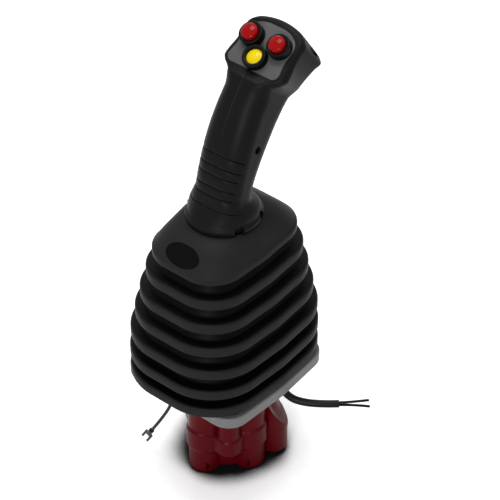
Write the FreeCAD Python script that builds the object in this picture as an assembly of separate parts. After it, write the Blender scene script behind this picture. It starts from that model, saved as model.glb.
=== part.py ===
import FreeCAD, Part
import math
import os

# Remote-control joystick for a hydraulic valve: a cast body with ports underneath, a steel
# flange plate, a swash plate on a cardan joint over four plungers, a rubber bellows and a
# two-shell grip with three push buttons. Millimetres, +Z up, +Y ahead of the operator, +X to
# the operator's right. The origin is the centre of the flange plate's underside.

V = FreeCAD.Vector
X_AXIS = V(1, 0, 0)
Y_AXIS = V(0, 1, 0)
Z_AXIS = V(0, 0, 1)

# Clearances
SEAT_GAP = 0.02
RUNNING_GAP = 0.03
FREE_GAP = 0.3
OVERCUT = 1.0

# Flange plate
PLATE_T = 8.5
PLATE_HALF_LENGTH = 55.0
PLATE_HALF_WIDTH_END = 51.7
PLATE_HALF_WIDTH_MID = 54.9
PLATE_SIDE_SLOPE = (PLATE_HALF_WIDTH_MID - PLATE_HALF_WIDTH_END) / PLATE_HALF_LENGTH
PLATE_CORNER_R = 16.0
FLANGE_HOLE_D = 6.6
FLANGE_HOLE_X = 37.0
FLANGE_HOLE_Y = 38.0
PLATE_EDGE_CHAMFER = 0.8

# Valve body
BODY_DEPTH = 83.0
UPPER_DEPTH = 50.0
CORE_R = 29.0
LOWER_CORE_R = 25.0
LOWER_CORE_DEPTH = 77.0
PORT_CIRCLE_R = 25.0
PORT_BOSS_R = 12.5
UPPER_BOSS_R = 14.0
BOLT_BOSS_R = 6.75
BOLT_CIRCLE_R = 29.0
BOLT_BOSS_DEPTH = 65.0
EAR_X = 28.0
EAR_Y = 21.0
EAR_R = 12.0
EAR_DEPTH = 78.0
EAR_TOP_DEPTH = 34.0
EAR_SLOPE_ANGLE = 38.0
BOSS_CHAMFER = 1.2
PORT_BORE_R = 6.58
PORT_BORE_LENGTH = 12.0
GALLERY_R = 2.5
GALLERY_TOP_DEPTH = 56.0

# Cap screws that hold the plate on the body
SCREW_R = 3.0
SCREW_LENGTH = 22.0
SCREW_HEAD_R = 5.0
SCREW_HEAD_H = 6.0
SCREW_SOCKET_R = 2.5
SCREW_SOCKET_DEPTH = 3.0

# Cardan joint
PIVOT_ABOVE_PLATE = 18.0
CROSS_HALF = 6.0
TRUNNION_R = 2.5
EAR_GAP = 0.3
FORK_EAR_T = 4.0
FORK_EAR_R = 5.0
FORK_BASE_R = 12.0
FORK_BASE_T = 4.0
FORK_STUD_R = 5.0
CROSS_CHAMFER = 1.2
FORK_STUD_DEPTH = 9.0

# Swash plate on the lever
SWASH_R = 33.0
SWASH_T = 6.0
SWASH_CAVITY_R = 16.0
SWASH_CAVITY_H = 8.0
SWASH_HUB_R = 20.0
SWASH_HUB_T = 6.0
SWASH_EDGE_CHAMFER = 1.5

# Plungers, bushes, springs and spools
PLUNGER_R = 4.0
PLUNGER_REST_GAP = 0.5
PLUNGER_TRAVEL = 8.5
BUSH_R = 8.0
BUSH_FLANGE_R = 10.0
BUSH_FLANGE_T = 2.5
WIPER_R = 6.5
WIPER_T = 2.0
WIPER_LIP_GAP = 0.05
SPRING_BORE_R = 7.5
SPRING_BORE_DEPTH = 34.0
SPRING_COLLAR_R = 7.0
SPRING_COLLAR_T = 3.0
SPRING_COLLAR_CLEAR = 0.6
SPRING_WIRE_HALF = 0.7
SPRING_MEAN_R = 6.0
SPRING_TURNS = 4
SPRING_END_GAP = 0.05
SPOOL_R = 3.0
SPOOL_END_DEPTH = 58.0
SPOOL_WAIST_R = 2.1
SPOOL_WAIST_LENGTH = 8.0
SPOOL_LAND_LENGTH = 5.0

# Lever between the swash plate and the grip
LEVER_R = 6.0
LEVER_TOP_Z = 176.0
LOCK_NUT_Z = 118.0
LOCK_NUT_T = 8.0
LOCK_NUT_AF = 19.0

# Bellows: each ridge is (half width at the ends, front length, back length, lower edge height,
# corner radius)
BELLOWS_RIDGES = [
    (50.9, 69.4, 68.8, 12.6, 41.9),
    (50.9, 69.4, 68.8, 29.0, 41.9),
    (50.5, 68.4, 68.1, 47.0, 41.5),
    (47.2, 64.7, 64.8, 64.9, 38.0),
    (43.4, 60.7, 60.9, 82.9, 33.8),
    (39.7, 55.9, 57.4, 100.8, 30.3),
    (35.2, 51.3, 53.2, 118.8, 25.9),
]
BELLOWS_BULGE_SLOPE = 0.058
KINK_R = 60.0
RIDGE_T = 7.6
TOP_RIDGE_T = 6.4
RIDGE_NOSE_CHAMFER = 2.4
VALLEY_INSET = 8.5
BELLOWS_WALL = 2.0
BELLOWS_FOOT_INSET = 4.0
# Steps up the top of the bellows: (inset from the last ridge, share of the rise)
MOUND_STEPS = [(3.0, 0.0), (9.0, 0.42), (16.0, 0.72), (25.0, 1.0)]
MOUND_DRAW_IN = 0.6
MOUND_CORNER_MIN = 22.0
CORNER_MARGIN = 2.0
NECK_OUTER_R = 25.0
NECK_INNER_R = 22.5
NECK_TOP_Z = 140.9

# Frame that clamps the bellows foot on the plate
CLAMP_T = 2.5
CLAMP_RIM = 3.0

# Grip: its centreline is an arc about an axis that lies ahead of it and parallel to X
GRIP_ARC_Y = 152.9
GRIP_ARC_Z = 118.4
GRIP_ARC_R = 160.0
GRIP_HALF_WIDTH = 19.5
# Each section is (lean in degrees, half depth)
GRIP_SECTIONS = [(16.0, 16.2), (21.0, 17.6), (27.0, 18.6), (33.0, 20.2), (39.0, 22.2), (44.0, 23.6)]
GRIP_SECTION_CORNER = 0.70
GRIP_END_DEPTH = 18.0
GRIP_END_HALF_DEPTH = 13.0
GRIP_WALL = 3.0
GRIP_HALVING_BOX = 400.0
GROOVE_FIRST_LEAN = 12.6
GROOVE_STEP_LEAN = 2.62
GROOVE_COUNT = 6
GROOVE_WIDTH = 0.9
GROOVE_DEPTH = 0.6
GROOVE_BACK_Y = -10.0
GROOVE_HALF_DEPTH = 15.4
GROOVE_HALF_DEPTH_PER_DEGREE = 0.235
GROOVE_CUTTER_MARGIN = 4.0
GROOVE_CUTTER_CORNER = 8.0

# Round foot of the grip
FOOT_R = 27.6
FOOT_Z = 141.4
FOOT_RIM_H = 4.2
FOOT_EDGE_CHAMFER = 1.0
FOOT_FLARE_INSET = 1.5
FOOT_FLARE_CORNER = 0.92
FOOT_FLARE_SINK = 0.4
# Section halfway up the flare: (y, z, lean in degrees, half width, half depth, corner share)
FOOT_MIDDLE_SECTION = (-0.6, 152.0, 4.0, 23.6, 22.0, 0.9)
NOTCH_R = 3.4
NOTCH_DEPTH = 2.4
NOTCH_ANGLES = (26.0, 154.0, 206.0, 334.0)
GRUB_R = 2.0
GRUB_LENGTH = 12.0

# Steel insert that the lever screws into
INSERT_R = 11.0
INSERT_TOP_Z = 170.0

# Head of the grip: a frame whose plane is the button panel's face
HEAD_Y = 34.2
HEAD_Z = 252.1
HEAD_RISE = 34.0
HEAD_HALF_WIDTH = 25.4
HEAD_HALF_OUTLINE = [(19.5, -15.0), (27.9, -6.5), (24.9, 8.0), (25.9, 26.0), (14.0, 33.8)]
HEAD_OUTLINE_RADII = [8.0, 6.0, 20.0, 9.0, 20.0]
HEAD_DEPTH = 31.5
HEAD_RIM_R = 2.5
HEAD_BACK_R = 7.0
HEAD_CAVITY_DEPTH = 27.0
HEAD_SLOT_LENGTH = 12.0
HEAD_SLOT_WIDTH = 2.6
HEAD_SLOT_DEPTH = 4.2
HEAD_SLOT_RISE = 27.5
HEAD_SLOT_MID_DEPTH = 19.0

# Button panel
PANEL_T = 2.5
PANEL_GAP = 0.1
PANEL_HALF_OUTLINE = [(24.6, -7.4), (21.7, 7.0), (22.6, 21.5), (12.0, 28.3)]
PANEL_OUTLINE_RADII = [5.0, 18.0, 6.0, 14.0]
PANEL_LEDGE = 1.2
BEZEL_SEAT_GAP = 0.1

# Push buttons: (name, x, y in the panel's plane, bezel radius, bezel height, cap radius, cap top)
BUTTONS = [
    ("left", -12.1, 15.3, 8.1, 4.6, 6.2, 8.6),
    ("right", 12.1, 15.3, 8.1, 4.6, 6.2, 8.6),
    ("lower", 0.0, 0.0, 8.1, 6.2, 5.8, 6.4),
]
BUTTON_TRAVEL = 1.8
CAP_DOME_H = 1.8
DOME_OVERLAP = 0.01
CAP_STEM_R = 3.0
BEZEL_EDGE_CHAMFER = 0.8
BEZEL_SHANK_R = 7.0
SWITCH_DEPTH = 16.0
SWITCH_FLOOR_T = 3.0
SWITCH_WALL = 1.2
SWITCH_WELL_MARGIN = 2.0

# Screws of the shells
SHELL_SCREW_R = 1.5
SHELL_SCREW_HEAD_R = 2.8
SHELL_SCREW_HEAD_T = 2.0
SHELL_SCREW_RECESS = 3.0
SHELL_SCREW_LENGTH = 24.0
SHELL_BOSS_R = 4.2
SHELL_SCREW_LEANS = (29.5,)

# Cable that leaves through the plate on the right, and the earth wire in front
CABLE_R = 2.85
CABLE_HOLE_INSET = 15.3
CABLE_HOLE_Y = 14.0
CABLE_HOLE_X = PLATE_HALF_WIDTH_MID - PLATE_SIDE_SLOPE * CABLE_HOLE_Y - CABLE_HOLE_INSET
GROMMET_WALL = 1.5
GROMMET_LIP = 1.0
GROMMET_LIP_T = 1.5
# Points of a route are (x, y) from the hole that the cord comes through, and height
CABLE_RUN = [
    (0.0, 0.0, 14.0),
    (0.0, 0.0, -6.1),
    (4.9, 1.6, -14.9),
    (13.2, 4.3, -20.0),
    (28.4, 13.0, -20.6),
    (39.4, 22.5, -20.2),
]
CORE_WIRE_R = 1.0
CORE_WIRE_OFFSET = 1.25
CORE_FIRST_RUN = 9.0
UPPER_CORE_END = (54.2, 38.8, -19.4)
LOWER_CORE_END = (55.8, 38.0, -24.2)
EARTH_WIRE_R = 1.25
EARTH_HOLE_INSET = 14.0
EARTH_HOLE_X = -14.6
EARTH_HOLE_Y = EARTH_HOLE_INSET - PLATE_HALF_LENGTH
EARTH_RUN = [
    (0.0, 0.0, 12.0),
    (0.0, 0.0, -7.5),
    (-1.8, 0.3, -18.0),
    (-5.4, 0.8, -28.0),
    (-10.4, 1.0, -38.0),
    (-17.0, 1.0, -50.5),
    (-24.0, 1.0, -62.5),
]
TERMINAL_T = 0.8
TERMINAL_NECK_R = 2.0
TERMINAL_NECK_LENGTH = 6.0
TERMINAL_FORK_HALF_WIDTH = 3.6
TERMINAL_SLOT_HALF_WIDTH = 1.7
TERMINAL_FORK_LENGTH = 9.0
TERMINAL_WEB = 2.5

# Heights worked out from the sizes above
PIVOT_Z = PLATE_T + PIVOT_ABOVE_PLATE
SWASH_UNDERSIDE_Z = PIVOT_Z + PLUNGER_R
HUB_BOTTOM_Z = SWASH_UNDERSIDE_Z + SWASH_CAVITY_H
HUB_TOP_Z = HUB_BOTTOM_Z + SWASH_HUB_T
COLLAR_TOP_Z = -(PLUNGER_TRAVEL + SPRING_COLLAR_CLEAR)
COLLAR_BOTTOM_Z = COLLAR_TOP_Z - SPRING_COLLAR_T
HEAD_LEAN = 90.0 - HEAD_RISE


def save(shape, name):
    shape.exportStep("parts/" + name + ".step")


def cylinder(radius, z0, z1, x=0.0, y=0.0):
    return Part.makeCylinder(radius, z1 - z0, V(x, y, z0), Z_AXIS)


def rod(radius, start, end):
    direction = end - start
    return Part.makeCylinder(radius, direction.Length, start, direction)


def block(x0, x1, y0, y1, z0, z1):
    return Part.makeBox(x1 - x0, y1 - y0, z1 - z0, V(x0, y0, z0))


def fuse_all(shapes):
    return shapes[0].multiFuse(shapes[1:]).removeSplitter()


def port_places():
    """Centres of the four ports and plungers: back, right, front and left."""
    r = PORT_CIRCLE_R
    return [(0.0, r), (r, 0.0), (0.0, -r), (-r, 0.0)]


def bolt_places():
    """Centres of the cap screws on the diagonals between the ports."""
    d = BOLT_CIRCLE_R / math.sqrt(2.0)
    return [(d, d), (d, -d), (-d, -d), (-d, d)]


# Outlines

def rounded_polygon(points, radii):
    """A closed wire of straight edges through the points, with an arc at each corner."""
    count = len(points)
    starts = []
    edges = []
    for i in range(count):
        before = points[i - 1]
        corner = points[i]
        after = points[(i + 1) % count]
        u = (before - corner).normalize()
        w = (after - corner).normalize()
        half = 0.5 * u.getAngle(w)
        reach = radii[i] / math.tan(half)
        bisector = (u + w).normalize()
        middle = corner + bisector * (radii[i] / math.sin(half) - radii[i])
        starts.append((corner + u * reach, middle, corner + w * reach))
    for i in range(count):
        a, m, b = starts[i]
        edges.append(Part.Arc(a, m, b).toShape())
        next_start = starts[(i + 1) % count][0]
        if (next_start - b).Length > 1e-6:
            edges.append(Part.LineSegment(b, next_start).toShape())
    return Part.Wire(edges)


def bulged_outline(half_end, front, back, corner_r, z):
    """Outline of the plate and the bellows: the two long sides are bent a little at mid length."""
    mid = half_end + BELLOWS_BULGE_SLOPE * front
    half_back = mid - BELLOWS_BULGE_SLOPE * back
    points = [
        V(-half_end, -front, z),
        V(half_end, -front, z),
        V(mid, 0, z),
        V(half_back, back, z),
        V(-half_back, back, z),
        V(-mid, 0, z),
    ]
    radii = [corner_r, corner_r, KINK_R, corner_r, corner_r, KINK_R]
    return rounded_polygon(points, radii)


def rounded_rectangle(half_x, half_y, corner_r):
    points = [V(-half_x, -half_y, 0), V(half_x, -half_y, 0), V(half_x, half_y, 0), V(-half_x, half_y, 0)]
    return rounded_polygon(points, [corner_r] * 4)


# Valve body and plate

def make_ear(side):
    """Port ear behind the body: a boss with a sloping top, joined to the core by a web."""
    x = side * EAR_X
    reach = math.hypot(EAR_X, EAR_Y)
    angle = math.degrees(math.atan2(EAR_Y, x))
    boss = cylinder(EAR_R, -EAR_DEPTH, -EAR_TOP_DEPTH, x, EAR_Y)
    web = block(0, reach, -EAR_R, EAR_R, -LOWER_CORE_DEPTH, -EAR_TOP_DEPTH)
    web.rotate(V(0, 0, 0), Z_AXIS, angle)
    ear = boss.fuse(web)
    cutter = block(0, 3 * EAR_R, -3 * EAR_R, 3 * EAR_R, 0, 3 * EAR_R)
    cutter.rotate(V(0, 0, 0), Y_AXIS, EAR_SLOPE_ANGLE)
    cutter.translate(V(CORE_R - OVERCUT, 0, -EAR_TOP_DEPTH))
    cutter.rotate(V(0, 0, 0), Z_AXIS, angle)
    return ear.cut(cutter)


def make_valve_body():
    solids = [cylinder(CORE_R, -UPPER_DEPTH, 0), cylinder(LOWER_CORE_R, -LOWER_CORE_DEPTH, 0)]
    for x, y in port_places():
        solids.append(cylinder(UPPER_BOSS_R, -UPPER_DEPTH, 0, x, y))
        foot = cylinder(PORT_BOSS_R, -BODY_DEPTH, 0, x, y)
        rim = [e for e in foot.Edges if abs(e.CenterOfMass.z + BODY_DEPTH) < 1e-6]
        solids.append(foot.makeChamfer(BOSS_CHAMFER, rim))
    for x, y in bolt_places():
        solids.append(cylinder(BOLT_BOSS_R, -BOLT_BOSS_DEPTH, 0, x, y))
    body = fuse_all(solids + [make_ear(1), make_ear(-1)])
    for x, y in port_places():
        body = body.cut(cylinder(SPRING_BORE_R, -SPRING_BORE_DEPTH, OVERCUT, x, y))
        body = body.cut(cylinder(SPOOL_R + RUNNING_GAP, -BODY_DEPTH, 0, x, y))
        body = body.cut(cylinder(PORT_BORE_R, -BODY_DEPTH - OVERCUT, PORT_BORE_LENGTH - BODY_DEPTH, x, y))
    for x in (-EAR_X, EAR_X):
        top = PORT_BORE_LENGTH - EAR_DEPTH
        body = body.cut(cylinder(PORT_BORE_R, -EAR_DEPTH - OVERCUT, top, x, EAR_Y))
        body = body.cut(cylinder(GALLERY_R, -EAR_DEPTH, -GALLERY_TOP_DEPTH, x, EAR_Y))
    for x, y in bolt_places():
        body = body.cut(cylinder(SCREW_R + SEAT_GAP, PLATE_T - SCREW_LENGTH - OVERCUT, OVERCUT, x, y))
    body = body.cut(cylinder(FORK_STUD_R + SEAT_GAP, -FORK_STUD_DEPTH - OVERCUT, OVERCUT))
    return body


def flange_hole_places():
    x, y = FLANGE_HOLE_X, FLANGE_HOLE_Y
    return [(x, y), (x, -y), (-x, -y), (-x, y)]


def plate_outline(inset, z):
    """The plate's outline drawn further in: straight ends, and sides bent a little at mid length."""
    half_length = PLATE_HALF_LENGTH - inset
    points = []
    for x, y in ((-1, -1), (1, -1), (1, 0), (1, 1), (-1, 1), (-1, 0)):
        half = PLATE_HALF_WIDTH_MID - PLATE_SIDE_SLOPE * abs(y) * PLATE_HALF_LENGTH - inset
        points.append(V(x * half, y * half_length, z))
    corner = PLATE_CORNER_R - inset
    return rounded_polygon(points, [corner, corner, KINK_R, corner, corner, KINK_R])


def plate_slab(inset, z0, z1):
    return Part.Face(plate_outline(inset, z0)).extrude(V(0, 0, z1 - z0))


def make_flange_plate():
    plate = plate_slab(0, 0, PLATE_T)
    top_edges = [e for e in plate.Edges if abs(e.BoundBox.ZMin - PLATE_T) < 1e-6]
    plate = plate.makeChamfer(PLATE_EDGE_CHAMFER, top_edges)
    holes = [cylinder(FLANGE_HOLE_D / 2, -OVERCUT, PLATE_T + OVERCUT, x, y) for x, y in flange_hole_places()]
    holes += [cylinder(BUSH_R + SEAT_GAP, -OVERCUT, PLATE_T + OVERCUT, x, y) for x, y in port_places()]
    holes += [cylinder(SCREW_R + SEAT_GAP, -OVERCUT, PLATE_T + OVERCUT, x, y) for x, y in bolt_places()]
    holes.append(cylinder(FORK_STUD_R + SEAT_GAP, -OVERCUT, PLATE_T + OVERCUT))
    cable_hole_r = CABLE_R + GROMMET_WALL
    holes.append(cylinder(cable_hole_r, -OVERCUT, PLATE_T + OVERCUT, CABLE_HOLE_X, CABLE_HOLE_Y))
    earth_hole_r = EARTH_WIRE_R + GROMMET_WALL
    holes.append(cylinder(earth_hole_r, -OVERCUT, PLATE_T + OVERCUT, EARTH_HOLE_X, EARTH_HOLE_Y))
    for hole in holes:
        plate = plate.cut(hole)
    return plate


def make_assembly_screws():
    """Four socket-head screws through the plate into the body, as separate solids of one group."""
    screws = []
    for x, y in bolt_places():
        head_top = PLATE_T + SCREW_HEAD_H
        screw = cylinder(SCREW_R, PLATE_T - SCREW_LENGTH, PLATE_T + OVERCUT, x, y)
        screw = screw.fuse(cylinder(SCREW_HEAD_R, PLATE_T, head_top, x, y)).removeSplitter()
        socket = Part.Face(hexagon(SCREW_SOCKET_R, x, y, head_top - SCREW_SOCKET_DEPTH))
        screws.append(screw.cut(socket.extrude(V(0, 0, SCREW_SOCKET_DEPTH + OVERCUT))))
    return Part.makeCompound(screws)


def hexagon(across_flats_half, x, y, z):
    corner_r = across_flats_half / math.cos(math.pi / 6)
    points = []
    for i in range(7):
        angle = i * math.pi / 3
        points.append(V(x + corner_r * math.cos(angle), y + corner_r * math.sin(angle), z))
    return Part.makePolygon(points)


# Cardan joint and swash plate

def fork_ear(side, z_join, up):
    """One ear of a fork, with a rounded end about the pivot and a bore for the trunnion."""
    inner = CROSS_HALF + EAR_GAP
    z0, z1 = sorted((PIVOT_Z, z_join))
    ear = block(inner, inner + FORK_EAR_T, -FORK_EAR_R, FORK_EAR_R, z0, z1)
    round_end = Part.makeCylinder(FORK_EAR_R, FORK_EAR_T, V(inner, 0, PIVOT_Z), X_AXIS)
    bore = Part.makeCylinder(TRUNNION_R + RUNNING_GAP, FORK_EAR_T + 2 * OVERCUT,
                             V(inner - OVERCUT, 0, PIVOT_Z), X_AXIS)
    ear = ear.fuse(round_end).cut(bore)
    angle = (0 if side > 0 else 180) + (0 if up else 90)
    ear.rotate(V(0, 0, 0), Z_AXIS, angle)
    return ear


def make_joint_fork():
    base_top = PLATE_T + FORK_BASE_T
    base = cylinder(FORK_BASE_R, PLATE_T, base_top)
    stud = cylinder(FORK_STUD_R, -FORK_STUD_DEPTH, base_top)
    ears = [fork_ear(side, PLATE_T + FORK_BASE_T / 2, True) for side in (1, -1)]
    return fuse_all([base, stud] + ears)


def make_joint_cross():
    c = CROSS_HALF
    core = block(-c, c, -c, c, PIVOT_Z - c, PIVOT_Z + c)
    core = core.makeChamfer(CROSS_CHAMFER, core.Edges)
    reach = CROSS_HALF + EAR_GAP + FORK_EAR_T
    centre = V(0, 0, PIVOT_Z)
    pin_x = rod(TRUNNION_R, centre - X_AXIS * reach, centre + X_AXIS * reach)
    pin_y = rod(TRUNNION_R, centre - Y_AXIS * reach, centre + Y_AXIS * reach)
    return fuse_all([core, pin_x, pin_y])


def make_swash_plate():
    """A dished disc: the flat ring presses the plungers, the hub above it carries the lever."""
    ring_top = SWASH_UNDERSIDE_Z + SWASH_T
    ring = cylinder(SWASH_R, SWASH_UNDERSIDE_Z, ring_top)
    rim = [e for e in ring.Edges if e.Length > 3 * SWASH_R]
    ring = ring.makeChamfer(SWASH_EDGE_CHAMFER, rim)
    hub = cylinder(SWASH_HUB_R, SWASH_UNDERSIDE_Z, HUB_TOP_Z)
    cavity = cylinder(SWASH_CAVITY_R, SWASH_UNDERSIDE_Z - OVERCUT, HUB_BOTTOM_Z)
    plate = ring.fuse(hub).cut(cavity)
    ears = [fork_ear(side, HUB_BOTTOM_Z + SWASH_HUB_T / 2, False) for side in (1, -1)]
    plate = fuse_all([plate] + ears)
    return plate.cut(cylinder(LEVER_R + SEAT_GAP, HUB_BOTTOM_Z - OVERCUT, HUB_TOP_Z + OVERCUT))


def make_lever_rod():
    return cylinder(LEVER_R, HUB_BOTTOM_Z, LEVER_TOP_Z)


def make_lock_nut():
    nut = Part.Face(hexagon(LOCK_NUT_AF / 2, 0, 0, LOCK_NUT_Z)).extrude(V(0, 0, LOCK_NUT_T))
    return nut.cut(cylinder(LEVER_R + SEAT_GAP, LOCK_NUT_Z - OVERCUT, LOCK_NUT_Z + LOCK_NUT_T + OVERCUT))


# Plungers

def make_guide_bush(x, y):
    bush = cylinder(BUSH_R, 0, PLATE_T + BUSH_FLANGE_T, x, y)
    bush = bush.fuse(cylinder(BUSH_FLANGE_R, PLATE_T, PLATE_T + BUSH_FLANGE_T, x, y)).removeSplitter()
    bore = cylinder(PLUNGER_R + RUNNING_GAP, -OVERCUT, PLATE_T + BUSH_FLANGE_T + OVERCUT, x, y)
    return bush.cut(bore)


def make_wiper_ring(x, y):
    z0 = PLATE_T + BUSH_FLANGE_T
    ring = cylinder(WIPER_R, z0, z0 + WIPER_T, x, y)
    return ring.cut(cylinder(PLUNGER_R + WIPER_LIP_GAP, z0 - OVERCUT, z0 + WIPER_T + OVERCUT, x, y))


def make_plunger(x, y):
    """Push rod with a ball end on top and a spring collar at its foot."""
    ball_z = PIVOT_Z - PLUNGER_REST_GAP
    stem = cylinder(PLUNGER_R, COLLAR_BOTTOM_Z, ball_z, x, y)
    ball = Part.makeSphere(PLUNGER_R, V(x, y, ball_z))
    collar = cylinder(SPRING_COLLAR_R, COLLAR_BOTTOM_Z, COLLAR_TOP_Z, x, y)
    return fuse_all([stem, ball, collar])


def make_metering_spool(x, y):
    """Spool that hangs under the plunger, with one waist between its lands."""
    spool = cylinder(SPOOL_R, -SPOOL_END_DEPTH, COLLAR_BOTTOM_Z, x, y)
    waist_z = SPOOL_LAND_LENGTH - SPOOL_END_DEPTH
    ring = cylinder(SPOOL_R + OVERCUT, waist_z, waist_z + SPOOL_WAIST_LENGTH, x, y)
    ring = ring.cut(cylinder(SPOOL_WAIST_R, waist_z, waist_z + SPOOL_WAIST_LENGTH, x, y))
    return spool.cut(ring)


def make_return_spring(x, y):
    """Helical spring of square wire between the bore's floor and the plunger's collar."""
    half = SPRING_WIRE_HALF
    z0 = -SPRING_BORE_DEPTH + half + SPRING_END_GAP
    height = COLLAR_BOTTOM_Z - half - SPRING_END_GAP - z0
    helix = Part.makeHelix(height / SPRING_TURNS, height, SPRING_MEAN_R)
    inner = SPRING_MEAN_R - half
    outer = SPRING_MEAN_R + half
    corners = [V(inner, 0, -half), V(outer, 0, -half), V(outer, 0, half), V(inner, 0, half)]
    spring = Part.Wire(helix).makePipeShell([Part.makePolygon(corners + corners[:1])], True, True)
    spring.translate(V(x, y, z0))
    return spring


# Bellows

def ridge_outline(ridge, inset, z):
    half_end, front, back, _, corner_r = ridge
    return bulged_outline(half_end - inset, front - inset, back - inset, corner_r - inset, z)


def make_ridge(ridge, thickness):
    z0 = ridge[3]
    slab = Part.Face(ridge_outline(ridge, 0, z0)).extrude(V(0, 0, thickness))
    edges = [e for e in slab.Edges if e.BoundBox.ZLength < 1e-6]
    return slab.makeChamfer(RIDGE_NOSE_CHAMFER, edges)


def ruled_loft(wires):
    return Part.makeLoft(wires, True, True)


def mound_sections(inset):
    """Sections of the top from the last ridge to the neck, as insets and rising heights."""
    top_ridge = BELLOWS_RIDGES[-1]
    z0 = top_ridge[3] + TOP_RIDGE_T
    rise = NECK_TOP_Z - z0
    wires = []
    for step_inset, share in MOUND_STEPS:
        half, front, back = (size - step_inset for size in top_ridge[:3])
        front -= share * (front - NECK_OUTER_R) * MOUND_DRAW_IN
        back -= share * (back - NECK_OUTER_R) * MOUND_DRAW_IN
        half = max(half, NECK_OUTER_R)
        corner = max(top_ridge[4] - step_inset, MOUND_CORNER_MIN)
        corner = min(corner, half - CORNER_MARGIN)
        z = z0 + rise * share - inset
        wires.append(bulged_outline(half - inset, front - inset, back - inset, corner - inset, z))
    return wires


def make_bellows():
    ridges = [make_ridge(r, RIDGE_T) for r in BELLOWS_RIDGES[:-1]]
    ridges.append(make_ridge(BELLOWS_RIDGES[-1], TOP_RIDGE_T))
    levels = [r[3] + RIDGE_T / 2 for r in BELLOWS_RIDGES]
    valley = [ridge_outline(r, VALLEY_INSET, z) for r, z in zip(BELLOWS_RIDGES, levels)]
    mound = mound_sections(0.0)
    foot = plate_slab(BELLOWS_FOOT_INSET, PLATE_T, levels[0])
    top = Part.Face(ridge_outline(BELLOWS_RIDGES[-1], MOUND_STEPS[0][0], levels[-1]))
    cap = top.extrude(V(0, 0, TOP_RIDGE_T - RIDGE_T / 2))
    outer = fuse_all(ridges + [ruled_loft(valley), foot, cap, ruled_loft(mound)])
    inset = VALLEY_INSET + BELLOWS_WALL
    inner_wires = [ridge_outline(r, inset, z) for r, z in zip(BELLOWS_RIDGES, levels)]
    inner = ruled_loft(inner_wires)
    inner_mound = mound_sections(BELLOWS_WALL)[1:]
    inner_top = ruled_loft([ridge_outline(BELLOWS_RIDGES[-1], inset + BELLOWS_WALL, levels[-1])] + inner_mound)
    foot_hole = plate_slab(BELLOWS_FOOT_INSET + BELLOWS_WALL, PLATE_T - OVERCUT, levels[0] + OVERCUT)
    neck = cylinder(NECK_INNER_R, NECK_TOP_Z - 4 * BELLOWS_WALL, NECK_TOP_Z + OVERCUT)
    for hollow in (inner, inner_top, foot_hole, neck):
        outer = outer.cut(hollow)
    return outer


def make_bellows_clamp():
    """Flat frame on the plate, inside the bellows foot, that holds it down."""
    inset = BELLOWS_FOOT_INSET + BELLOWS_WALL + FREE_GAP
    clamp = plate_slab(inset, PLATE_T, PLATE_T + CLAMP_T)
    return clamp.cut(plate_slab(inset + CLAMP_RIM, PLATE_T - OVERCUT, PLATE_T + CLAMP_T + OVERCUT))


# Grip

def arc_place(lean, radius=GRIP_ARC_R):
    a = math.radians(lean)
    return V(0, GRIP_ARC_Y - radius * math.cos(a), GRIP_ARC_Z + radius * math.sin(a))


def leaning_section(centre, lean, half_width, half_depth, corner_share):
    """Rounded section across the grip, standing square to a line that leans ahead by lean."""
    wire = rounded_rectangle(half_width, half_depth, corner_share * min(half_width, half_depth))
    wire.Placement = FreeCAD.Placement(centre, FreeCAD.Rotation(X_AXIS, -lean))
    return wire


def in_head(shape):
    """Carry a shape from the panel's own plane to its place on the grip."""
    shape.Placement = FreeCAD.Placement(V(0, HEAD_Y, HEAD_Z), FreeCAD.Rotation(X_AXIS, HEAD_RISE))
    return shape


def grip_loft(inset):
    wires = []
    for lean, half_depth in GRIP_SECTIONS:
        centre = arc_place(lean)
        wires.append(leaning_section(centre, lean, GRIP_HALF_WIDTH - inset, half_depth - inset,
                                     GRIP_SECTION_CORNER))
    a = math.radians(HEAD_LEAN)
    end = V(0, HEAD_Y, HEAD_Z) + V(0, math.cos(a), -math.sin(a)) * GRIP_END_DEPTH
    wires.append(leaning_section(end, HEAD_LEAN, GRIP_HALF_WIDTH - inset, GRIP_END_HALF_DEPTH - inset / 2,
                                 GRIP_SECTION_CORNER))
    return Part.makeLoft(wires, True, False)


def mirrored_outline(half_points, radii, z):
    """Closed outline whose right half runs from the bottom up; the left half mirrors it."""
    right = [V(x, y, z) for x, y in half_points]
    left = [V(-x, y, z) for x, y in reversed(half_points)]
    return rounded_polygon(right + left, list(radii) + list(reversed(radii)))


def head_block():
    """Head of the grip: its outline in the panel's plane, carried down the head's depth."""
    outline = mirrored_outline(HEAD_HALF_OUTLINE, HEAD_OUTLINE_RADII, -HEAD_DEPTH)
    head = Part.Face(outline).extrude(V(0, 0, HEAD_DEPTH))
    front = [e for e in head.Edges if e.BoundBox.ZMin > -1e-6]
    head = head.makeFillet(HEAD_RIM_R, front)
    back = [e for e in head.Edges if e.BoundBox.ZMax < -HEAD_DEPTH + 1e-6]
    head = head.makeFillet(HEAD_BACK_R, back)
    return in_head(head)


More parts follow.
